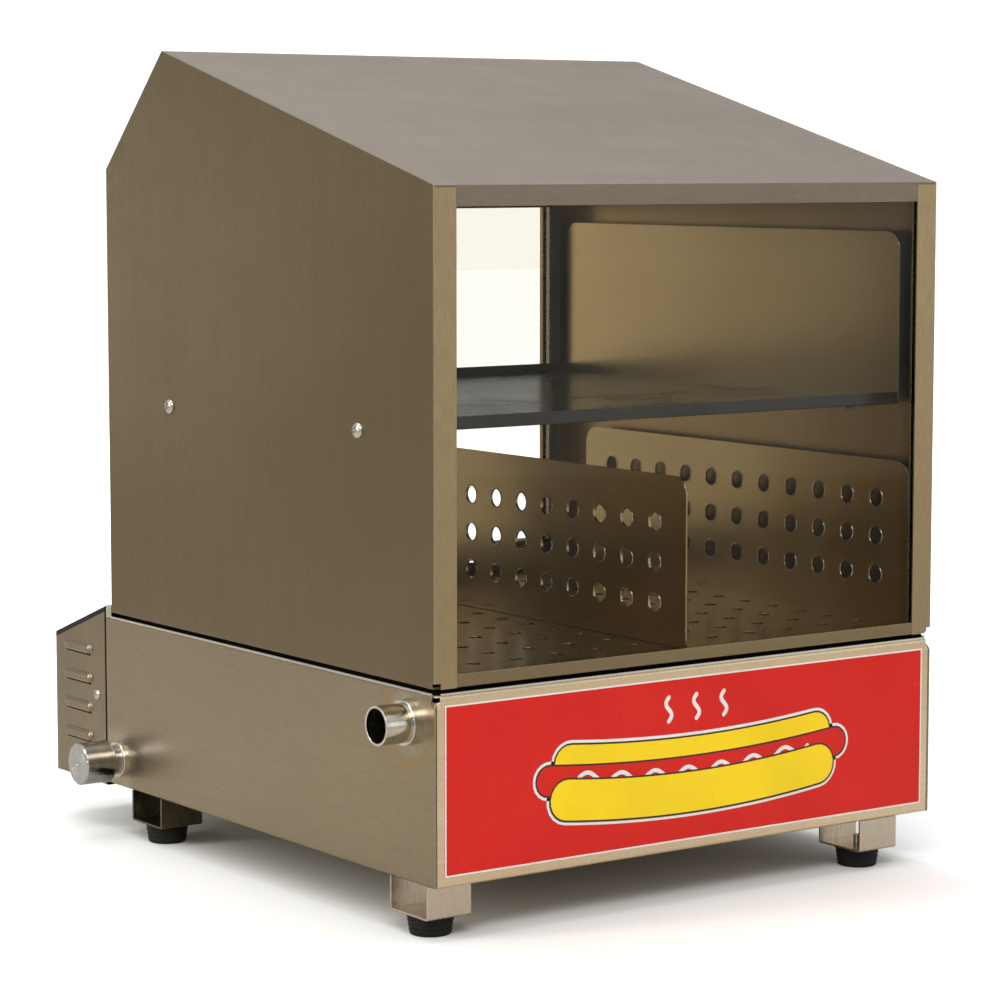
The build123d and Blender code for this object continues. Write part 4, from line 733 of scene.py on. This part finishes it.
# ---- which node wears which finish
SHEETS = {
    "base_front_panel": "base_front", "base_left_panel": "base_side", "base_right_panel": "base_side",
    "base_rear_panel": "base_side", "base_bottom_plate": "rail", "rear_locating_bar": "bright_fold",
    "leg_front_left": "leg", "leg_front_right": "leg", "leg_rear_left": "leg_shaded",
    "leg_rear_right": "leg",
    "cabinet_left_side": "cabinet_side", "cabinet_right_side": "cabinet_right", "roof_panel": "roof",
    "front_bottom_rail": "cabinet_trim", "rear_bottom_rail": "cabinet_trim",
    "glass_stops": "cabinet_trim",
    "door_pivot_brackets": "bright_fold", "control_box_cover": "box_cover",
    "control_box_lid": "lid_near_black",
}
TRAYS = {
    "bun_tray_floor": "tray_coating", "bun_tray_sides": "tray", "hot_dog_tray_floor": "tray",
    "hot_dog_tray_sides": "tray", "tray_divider": "tray",
}
SEALS = {
    "rubber_feet": "rubber_black", "seam_gasket": "seam_painted_shade_black", "glass_tape": "seam_painted_shade_black",
    "control_box_seal": "seam_painted_shade_black", "drain_cap_seal": "silicone_grey", "cord_gland": "plastic_black",
}
PIPES = {
    "fill_pipe": "pipe_turned", "fill_collar": "pipe_turned", "drain_pipe": "drain_turned",
    "drain_weld_ring": "weld_bead", "drain_cap": "drain_turned",
}
CONTROLS = {
    "thermostat_body": "plastic_black", "dial_plate": "dial_silver", "power_switch_body": "plastic_black",
    "pilot_lamp": "lamp_amber", "terminal_block": "phenolic_black", "thermostat_knob": "phenolic_black",
    "power_rocker": "plastic_black",
}
DOOR = {
    "door_frame": "cabinet_trim", "door_gasket": "silicone_grey", "catch_plate": "bright_fold",
    "door_handle": "phenolic_black", "door_handle_washers": "screw_metal", "catch_magnet": "magnet",
}
WATER = {
    "water_tank": "tank", "heating_element": "heater_metal", "element_flange": "bright_fold",
    "thermostat_bulb": "copper_bulb", "bulb_gland": "screw_metal", "shelf_nuts": "screw_metal",
}


def wear_all(group):
    for node, finish in group.items():
        wear(node, finish)


# ---- folded edge of the base
def bar(form, start, end, radius, around=16):
    """Closed round bar between two points."""
    along = Vector(end) - Vector(start)
    turn = along.to_track_quat("Z", "Y").to_matrix().to_4x4()
    place = Matrix.Translation((Vector(start) + Vector(end)) / 2) @ turn
    bmesh.ops.create_cone(form, cap_ends=True, segments=around, radius1=radius, radius2=radius,
                          depth=along.length, matrix=place)


def base_fold():
    """Rolled edge along the top of the base's front and two side sheets, open at the corners."""
    s = sizes()
    radius, gap = s.fold_radius, s.fold_gap
    left, right = low("base_left_panel").x + radius, high("base_right_panel").x - radius
    front, back = low("base_left_panel").y + radius, high("base_left_panel").y - radius
    level = high("base_left_panel").z + radius * 0.6
    form = bmesh.new()
    bar(form, (left + gap, front, level), (right - gap, front, level), radius)
    bar(form, (left, front + gap, level), (left, back - gap, level), radius)
    bar(form, (right, front + gap, level), (right, back - gap, level), radius)
    # Painted highlight: the rolled edge takes the bright steel, much lighter than the base steel around
    # it.
    finished("base_top_fold", mesh_of(form), "housing", "bright_fold")


# ---- screws
def screws(name, node, axis, head_r, head_h, shank_r):
    """Replace every screw of a node, whose heads face away from the middle of the object."""
    centre = (CAD_BOX[0] + CAD_BOX[1]) / 2
    places = []
    for small, large in solids_of(node):
        spot, aim = (small + large) / 2, [0.0, 0.0, 0.0]
        aim[axis] = -1.0 if spot[axis] < centre[axis] else 1.0
        spot[axis] = (large[axis] - head_h) if aim[axis] > 0 else (small[axis] + head_h)
        places.append((spot, aim))
        reach = large[axis] - small[axis] - head_h
    values = {"Head Radius": head_r, "Head Height": head_h, "Shank Radius": shank_r,
              "Shank Length": reach, "Thread Pitch": sizes().thread_pitch}
    piece = grown(name, screw_tree(), places, values, "housing", "screw_metal")
    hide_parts(node)


# ---- decal pictogram
def sagging_line(cx, cz, half, sag, swing=0.0, waves=0, count=40):
    """Line of x-z points from left to right that sags in the middle and may wave."""
    points = []
    for i in range(count + 1):
        t = 2 * i / count - 1
        wave = swing * math.sin(math.pi * waves * (t + 1))
        points.append((cx + half * t, cz - sag * (1 - t * t) + wave))
    return points


def rising_line(cx, cz, height, swing, count=40):
    """Line of x-z points that rises in one wave."""
    return [(cx + swing * math.sin(2 * math.pi * i / count), cz + height * i / count)
            for i in range(count + 1)]


def make_pictogram():
    """The printed colours as closed thin bands, each a little further before the decal."""
    small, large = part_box("front_decal")
    cx = small.x + (large.x - small.x) * 0.50
    cz = small.z + (large.z - small.z) * 0.44
    half = (large.x - small.x) * 0.30
    back = sagging_line(cx, cz + 13 * MM, half * 0.86, 5 * MM)
    meat = sagging_line(cx, cz + 4 * MM, half, 6 * MM)
    bun = sagging_line(cx, cz - 9 * MM, half * 0.88, 6 * MM)
    sauce = sagging_line(cx, cz + 4 * MM, half * 0.80, 6 * MM, 3.0 * MM, 7, 96)
    steam = [rising_line(cx + shift * MM, cz + 31 * MM, 15 * MM, 2.2 * MM) for shift in (-22, 0, 22)]
    prints = (  # name, lines with their widths in mm, layer, finish
        ("decal_outline", [(back, 29), (meat, 24), (bun, 31)], 0, "decal_white"),
        ("decal_outline_dark", [(back, 25.4), (meat, 20.4), (bun, 27.4)], 1, "decal_dark"),
        ("decal_bun_back", [(back, 23)], 2, "decal_yellow"),
        ("decal_gap", [(meat, 20.4)], 3, "decal_dark"),
        ("decal_sausage", [(meat, 18)], 4, "decal_red"),
        ("decal_sauce", [(sauce, 2.6)], 5, "decal_white"),
        ("decal_bun_gap", [(bun, 27.4)], 6, "decal_dark"),
        ("decal_bun", [(bun, 25)], 7, "decal_yellow"),
        ("decal_steam", [(line, 2.8) for line in steam], 1, "decal_white"),
    )
    for name, bands, layer, finish in prints:
        form = bmesh.new()
        for line, width in bands:
            slab(form, ribbon(line, width * MM), small.y + DECAL_BACK * MM,
                 small.y - (DECAL_FIRST + DECAL_STEP * layer) * MM)
        finished(name, mesh_of(form), "housing", finish)


def make_decal_border():
    small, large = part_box("front_decal")
    wide = sizes().decal_border
    left, right, foot, head = small.x, large.x, small.z, large.z
    bars = [((left, foot), (right, foot + wide)), ((left, head - wide), (right, head)),
            ((left, foot + wide), (left + wide, head - wide)),
            ((right - wide, foot + wide), (right, head - wide))]
    form = bmesh.new()
    for (x0, z0), (x1, z1) in bars:
        slab(form, [(x0, z0), (x1, z0), (x1, z1), (x0, z1)], small.y + DECAL_BACK * MM,
             small.y - DECAL_STEP * MM)
    finished("decal_border", mesh_of(form), "housing", "decal_white")


# ---- rings, ribs and threads
def hole_rims(name, node, body):
    """Pressed rims on both sides of every steam hole of a node."""
    half = sizes().hole_rim * 0.6
    rims = [((x, mid.y, mid.z), (1.0, 0.0, 0.0), STEAM_HOLE + half)
            for mid, inner, outer in holes_along_x(node, STEAM_HOLE) for x in (inner, outer)]
    if not rims:
        raise RuntimeError(f"no steam holes found in {node}")
    values = {"Thickness": half, "Around": 28, "Across": 8}
    # Painted highlight: the pressed rims take the bright steel, lighter than the tray steel they are
    # pressed from.
    grown(name, ring_tree(), rims, values, body, "bright_fold")


def foot_ribs():
    rib, rings = sizes().foot_rib, []
    for small, large in solids_of("rubber_feet"):
        mid, top = (small + large) / 2, (large.x - small.x) / 2
        foot = top * FOOT_TAPER
        for share in (0.22, 0.45, 0.68, 0.88):
            level = small.z + (large.z - small.z) * share
            radius = foot + (top - foot) * share - rib * 0.4
            rings.append(((mid.x, mid.y, level), (0.0, 0.0, 1.0), radius))
    values = {"Thickness": rib, "Around": 56, "Across": 8}
    grown("foot_ribs", ring_tree(), rings, values, "housing", "rubber_black")


def cap_rings():
    """Raised grip rings round the drain cap and the lips of two turned grooves on its end."""
    small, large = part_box("drain_cap")
    mid, radius = (small + large) / 2, (large.z - small.z) / 2
    rings = [((small.x + (large.x - small.x) * share, mid.y, mid.z), (1.0, 0.0, 0.0), radius - 0.2 * MM)
             for share in (0.04, 0.94)]
    rings += [((small.x + 0.15 * MM, mid.y, mid.z), (1.0, 0.0, 0.0), radius * share)
              for share in (0.38, 0.66)]
    values = {"Thickness": 0.25 * MM, "Around": 72, "Across": 8}
    grown("drain_cap_rings", ring_tree(), rings, values, "drain_cap", "drain_turned")


def drain_thread():
    mid = middle("drain_pipe")
    start = low("drain_cap").x + 8 * MM
    values = {"Radius": DRAIN_THREAD, "Length": high("drain_cap").x - start,
              "Pitch": sizes().cap_thread_pitch}
    grown("drain_thread", thread_tree(), [((start, mid.y, mid.z), (1.0, 0.0, 0.0))], values,
          "housing", "drain_turned")


def gland_rings():
    mid, back, radius = middle("cord_gland"), high("cord_gland").y, 6.0 * MM
    rings = [((mid.x, back - inset * MM, mid.z), (0.0, 1.0, 0.0), radius)
             for inset in (3.0, 5.5, 8.0, 10.5)]
    values = {"Thickness": 0.6 * MM, "Around": 40, "Across": 8}
    grown("gland_ribs", ring_tree(), rings, values, "housing", "plastic_black")


# ---- dial, rocker and knob marks
def dial_marks():
    mid, face = middle("dial_plate"), high("dial_plate").y + 0.05 * MM
    values = {"Count": sizes().dial_marks, "Radius": 22.6 * MM, "Bar Length": 2.6 * MM,
              "Bar Width": 0.55 * MM, "Rise": 0.16 * MM}
    grown("dial_marks", mark_tree(), [((mid.x, face, mid.z), (0.0, 1.0, 0.0))], values,
          "housing", "mark_black")


def flat_text(name, words, size, spots, body, finish, rise):
    """Small raised figures that face the back, one for each spot."""
    form = bmesh.new()
    for word, spot in zip(words, spots):
        curve = bpy.data.curves.new("figure", "FONT")
        curve.body, curve.size, curve.extrude = word, size, rise
        curve.align_x, curve.align_y = "CENTER", "CENTER"
        curve.resolution_u = 4
        holder = bpy.data.objects.new("figure", curve)
        bpy.context.scene.collection.objects.link(holder)
        bpy.context.view_layer.update()
        evaluated = holder.evaluated_get(bpy.context.evaluated_depsgraph_get())
        mesh = bpy.data.meshes.new_from_object(evaluated)
        turn = Matrix.Rotation(math.pi, 4, "Z") @ Matrix.Rotation(math.pi / 2, 4, "X")
        mesh.transform(Matrix.Translation(spot) @ turn)
        form.from_mesh(mesh)
        bpy.data.objects.remove(holder)
    bmesh.ops.remove_doubles(form, verts=form.verts, dist=MERGE_GAP)
    finished(name, mesh_of(form), body, finish)


def dial_figures():
    """Degrees Celsius round the dial, clockwise as it is seen from behind."""
    mid, face = middle("dial_plate"), high("dial_plate").y + 0.05 * MM
    words, radius = ["30", "50", "70", "90", "110"], 26.0 * MM
    spots = []
    for index in range(len(words)):
        angle = math.radians(DIAL_START - DIAL_SWEEP * index / (len(words) - 1))
        spots.append(Vector((mid.x - radius * math.cos(angle), face,
                             mid.z + radius * math.sin(angle))))
    flat_text("dial_figures", words, 4.2 * MM, spots, "housing", "mark_black", 0.1 * MM)


def knob_pointer():
    mid, face = middle("thermostat_knob"), high("thermostat_knob").y
    form = bmesh.new()
    inner, outer, wide = 2 * MM, 12.5 * MM, 0.8 * MM
    turn = math.radians(DIAL_START)
    along, across = (-math.cos(turn), math.sin(turn)), (math.sin(turn), math.cos(turn))
    outline = [(mid.x + along[0] * reach + across[0] * side,
                mid.z + along[1] * reach + across[1] * side)
               for reach, side in ((inner, -wide), (inner, wide), (outer, wide), (outer, -wide))]
    slab(form, outline, face - 0.3 * MM, face + 0.12 * MM)
    finished("knob_pointer", mesh_of(form), "thermostat_knob", "mark_white")


# ---- stage
LIGHTS = (  # name, place, height aimed at, width, height, power, colour, shows in reflections
    ("key", (-1.6, -2.4, 2.6), 0.25, 1.8, 1.2, 60, (1.0, 0.98, 0.95), True),
    ("left_band", (-2.6, 0.4, 1.5), 0.3, 0.5, 1.8, 32, (1.0, 0.96, 0.88), True),
    ("cool_band", (-2.9, -0.6, 0.55), 0.2, 1.4, 0.22, 3.0, (0.80, 0.88, 1.0), True),
    ("rear_window", (0.6, 2.8, 1.3), 0.3, 2.2, 1.4, 46, (0.95, 0.98, 1.0), False),
    ("front_card", (1.7, -2.3, 0.35), 0.3, 1.3, 1.3, 3.6, (1.0, 0.97, 0.92), True),
    ("rear_card", (-1.35, 3.0, 0.25), 0.3, 0.9, 0.6, 2.0, (1.0, 0.93, 0.80), True),
    ("overhead", (0.2, 0.2, 3.0), 0.3, 2.4, 2.4, 50, (1.0, 1.0, 1.0), True),
)


def make_lights():
    for name, place, aim, width, height, power, tone, mirrored in LIGHTS:
        data = bpy.data.lights.new(name, "AREA")
        data.shape, data.size, data.size_y = "RECTANGLE", width, height
        data.energy, data.color = power, tone
        lamp = bpy.data.objects.new(name, data)
        lamp.location = place
        lamp.visible_camera = False
        lamp.visible_glossy = mirrored
        towards = Vector((0, 0, aim)) - Vector(place)
        lamp.rotation_euler = towards.to_track_quat("-Z", "Y").to_euler()
        bpy.context.scene.collection.objects.link(lamp)


def make_world():
    """Pale to the camera, darker and banded by height to everything else."""
    world = bpy.data.worlds.new("studio")
    world.use_nodes = True
    tree = world.node_tree
    tree.nodes.clear()
    out, pick, path, seen, around, spot, parts, ramp, span = [
        tree.nodes.new("ShaderNode" + kind) for kind in (
            "OutputWorld", "MixShader", "LightPath", "Background", "Background", "TexCoord",
            "SeparateXYZ", "ValToRGB", "MapRange")]
    seen.inputs[0].default_value = (1.0, 0.98, 0.95, 1.0)
    seen.inputs[1].default_value = 1.3
    span.inputs[1].default_value, span.inputs[2].default_value = -1.0, 1.0
    stops = ramp.color_ramp.elements
    stops[0].position, stops[0].color = 0.0, (0.30, 0.28, 0.24, 1.0)
    stops[1].position, stops[1].color = 1.0, (0.78, 0.80, 0.83, 1.0)
    for place, tone in ((0.42, (0.34, 0.32, 0.28)), (0.50, (0.52, 0.50, 0.46)),
                        (0.58, (0.46, 0.46, 0.45)), (0.74, (0.62, 0.63, 0.64))):
        stops.new(place).color = colour(tone)
    for source, target in (
            (spot.outputs["Generated"], parts.inputs[0]), (parts.outputs["Z"], span.inputs[0]),
            (span.outputs[0], ramp.inputs[0]), (ramp.outputs[0], around.inputs[0]),
            (path.outputs["Is Camera Ray"], pick.inputs[0]), (around.outputs[0], pick.inputs[1]),
            (seen.outputs[0], pick.inputs[2]), (pick.outputs[0], out.inputs[0])):
        tree.links.new(source, target)
    bpy.context.scene.world = world


def make_floor():
    """Pale floor, darker in reflections and glowing far out so that it has no horizon."""
    form = bmesh.new()
    half_width = 9.0
    bmesh.ops.create_grid(form, x_segments=1, y_segments=1, size=half_width)
    mesh = mesh_of(form, outward=False)
    f = Finish("floor_pale")
    grain = f.noise((6.0, 6.0, 6.0), 3.0)
    path = f.tree.nodes.new("ShaderNodeLightPath")
    pale = f.mix(grain, (0.84, 0.84, 0.83, 1.0), (0.88, 0.88, 0.87, 1.0))
    dim = f.mix(grain, (0.30, 0.28, 0.24, 1.0), (0.34, 0.32, 0.27, 1.0))
    close = f.near((0.0, 0.0, 0.0), 0.6, 1.3)
    mirrored = f.mix(close, dim, (0.46, 0.43, 0.38, 1.0))
    f.link(f.mix(path.outputs["Is Camera Ray"], mirrored, pale), f.shader.inputs["Base Color"])
    far = f.times(f.near((0.0, 0.0, 0.0), 2.6, 0.5), 0.8)
    f.shader.inputs["Emission Color"].default_value = (1.0, 0.98, 0.95, 1.0)
    f.link(f.times(far, path.outputs["Is Camera Ray"]), f.shader.inputs["Emission Strength"])
    f.shader.inputs["Roughness"].default_value = 0.8
    mesh.materials.append(f.material)
    floor = bpy.data.objects.new("studio_floor", mesh)
    bpy.context.scene.collection.objects.link(floor)


def make_camera():
    downwards, sideways = 6.060, 35.454  # degrees
    data = bpy.data.cameras.new("view")
    data.lens, data.sensor_width, data.clip_end = 115.352, 36.0, 100.0
    camera = bpy.data.objects.new("view", data)
    camera.location = (-1.2159, -1.7614, 0.4622)
    camera.rotation_euler = (math.radians(90 - downwards), 0.0, math.radians(-sideways))
    bpy.context.scene.collection.objects.link(camera)
    bpy.context.scene.camera = camera


# ---- operators
class STEAMER_OT_finishes(bpy.types.Operator):
    """Make every finish of the steamer"""
    bl_idname = "steamer.finishes"
    bl_label = "Finishes"

    def execute(self, context):
        make_finishes()
        return {"FINISHED"}


class STEAMER_OT_sheets(bpy.types.Operator):
    """Finish the folded sheets of the base, cabinet and control box"""
    bl_idname = "steamer.sheets"
    bl_label = "Steel sheets"

    def execute(self, context):
        wear_all(SHEETS)
        base_fold()
        return {"FINISHED"}


class STEAMER_OT_panes(bpy.types.Operator):
    """Finish the front and door glass"""
    bl_idname = "steamer.panes"
    bl_label = "Glass panes"

    def execute(self, context):
        wear("front_glass", "glass_front")
        wear("door_glass", "glass_door")
        return {"FINISHED"}


class STEAMER_OT_trays(bpy.types.Operator):
    """Finish the trays and press rims round their steam holes"""
    bl_idname = "steamer.trays"
    bl_label = "Trays"

    def execute(self, context):
        wear_all(TRAYS)
        hole_rims("divider_hole_rims", "tray_divider", "tray_divider")
        hole_rims("hot_dog_tray_hole_rims", "hot_dog_tray_sides", "hot_dog_tray")
        return {"FINISHED"}


class STEAMER_OT_seals(bpy.types.Operator):
    """Finish the rubber and add the ribs of the feet and gland"""
    bl_idname = "steamer.seals"
    bl_label = "Rubber and seals"

    def execute(self, context):
        wear_all(SEALS)
        foot_ribs()
        gland_rings()
        return {"FINISHED"}


class STEAMER_OT_decal(bpy.types.Operator):
    """Finish the front decal and print its border and pictogram"""
    bl_idname = "steamer.decal"
    bl_label = "Front decal"

    def execute(self, context):
        wear("front_decal", "decal_red")
        make_decal_border()
        make_pictogram()
        return {"FINISHED"}


class STEAMER_OT_screws(bpy.types.Operator):
    """Build the cross-slot screws of the shelf, control box and feet"""
    bl_idname = "steamer.screws"
    bl_label = "Screws"

    def execute(self, context):
        s = sizes()
        across, upright = 0, 2
        screws("shelf_screws", "shelf_pegs", across, s.screw_head_radius, s.screw_head_height, 2.4 * MM)
        screws("box_screws", "control_box_screws", across, s.box_screw_radius, 2.2 * MM, 1.9 * MM)
        screws("foot_fixings", "foot_screws", upright, 4.5 * MM, 3.0 * MM, 2.4 * MM)
        return {"FINISHED"}


class STEAMER_OT_pipes(bpy.types.Operator):
    """Finish the fill and drain pipes and cut the drain's thread and cap rings"""
    bl_idname = "steamer.pipes"
    bl_label = "Pipes and drain"

    def execute(self, context):
        wear_all(PIPES)
        drain_thread()
        cap_rings()
        return {"FINISHED"}


class STEAMER_OT_controls(bpy.types.Operator):
    """Finish the controls and mark the dial and knob"""
    bl_idname = "steamer.controls"
    bl_label = "Controls"

    def execute(self, context):
        wear_all(CONTROLS)
        dial_marks()
        dial_figures()
        knob_pointer()
        return {"FINISHED"}


class STEAMER_OT_door(bpy.types.Operator):
    """Finish the rear door and its catch"""
    bl_idname = "steamer.door"
    bl_label = "Rear door"

    def execute(self, context):
        wear_all(DOOR)
        return {"FINISHED"}


class STEAMER_OT_water(bpy.types.Operator):
    """Finish the water tank, heater and thermostat bulb"""
    bl_idname = "steamer.water"
    bl_label = "Tank and heater"

    def execute(self, context):
        wear_all(WATER)
        return {"FINISHED"}


class STEAMER_OT_stage(bpy.types.Operator):
    """Set up the floor, light and camera"""
    bl_idname = "steamer.stage"
    bl_label = "Stage"

    def execute(self, context):
        context.scene.view_settings.view_transform = "Standard"
        make_world()
        make_floor()
        make_lights()
        make_camera()
        return {"FINISHED"}


class STEAMER_PT_panel(bpy.types.Panel):
    """Sizes, colours and build steps of the steamer"""
    bl_idname = "STEAMER_PT_panel"
    bl_label = "Hot Dog Steamer"
    bl_space_type = "VIEW_3D"
    bl_region_type = "UI"
    bl_category = "Steamer"

    def draw(self, context):
        for group in (context.scene.steamer_sizes, context.scene.steamer_colours):
            for name in group.__annotations__:
                self.layout.prop(group, name)
        for step in STEPS:
            self.layout.operator(step.bl_idname)


STEPS = (
    STEAMER_OT_finishes, STEAMER_OT_sheets, STEAMER_OT_panes, STEAMER_OT_trays, STEAMER_OT_seals,
    STEAMER_OT_decal, STEAMER_OT_screws, STEAMER_OT_pipes, STEAMER_OT_controls, STEAMER_OT_door,
    STEAMER_OT_water, STEAMER_OT_stage,
)
CLASSES = (SteamerSizes, SteamerColours, *STEPS, STEAMER_PT_panel)


def register():
    for item in CLASSES:
        bpy.utils.register_class(item)
    bpy.types.Scene.steamer_sizes = PointerProperty(type=SteamerSizes)
    bpy.types.Scene.steamer_colours = PointerProperty(type=SteamerColours)


def unregister():
    del bpy.types.Scene.steamer_colours
    del bpy.types.Scene.steamer_sizes
    for item in reversed(CLASSES):
        bpy.utils.unregister_class(item)


def main():
    register()
    for step in STEPS:
        group, name = step.bl_idname.split(".")
        getattr(getattr(bpy.ops, group), name)()


if __name__ == "__main__":
    main()
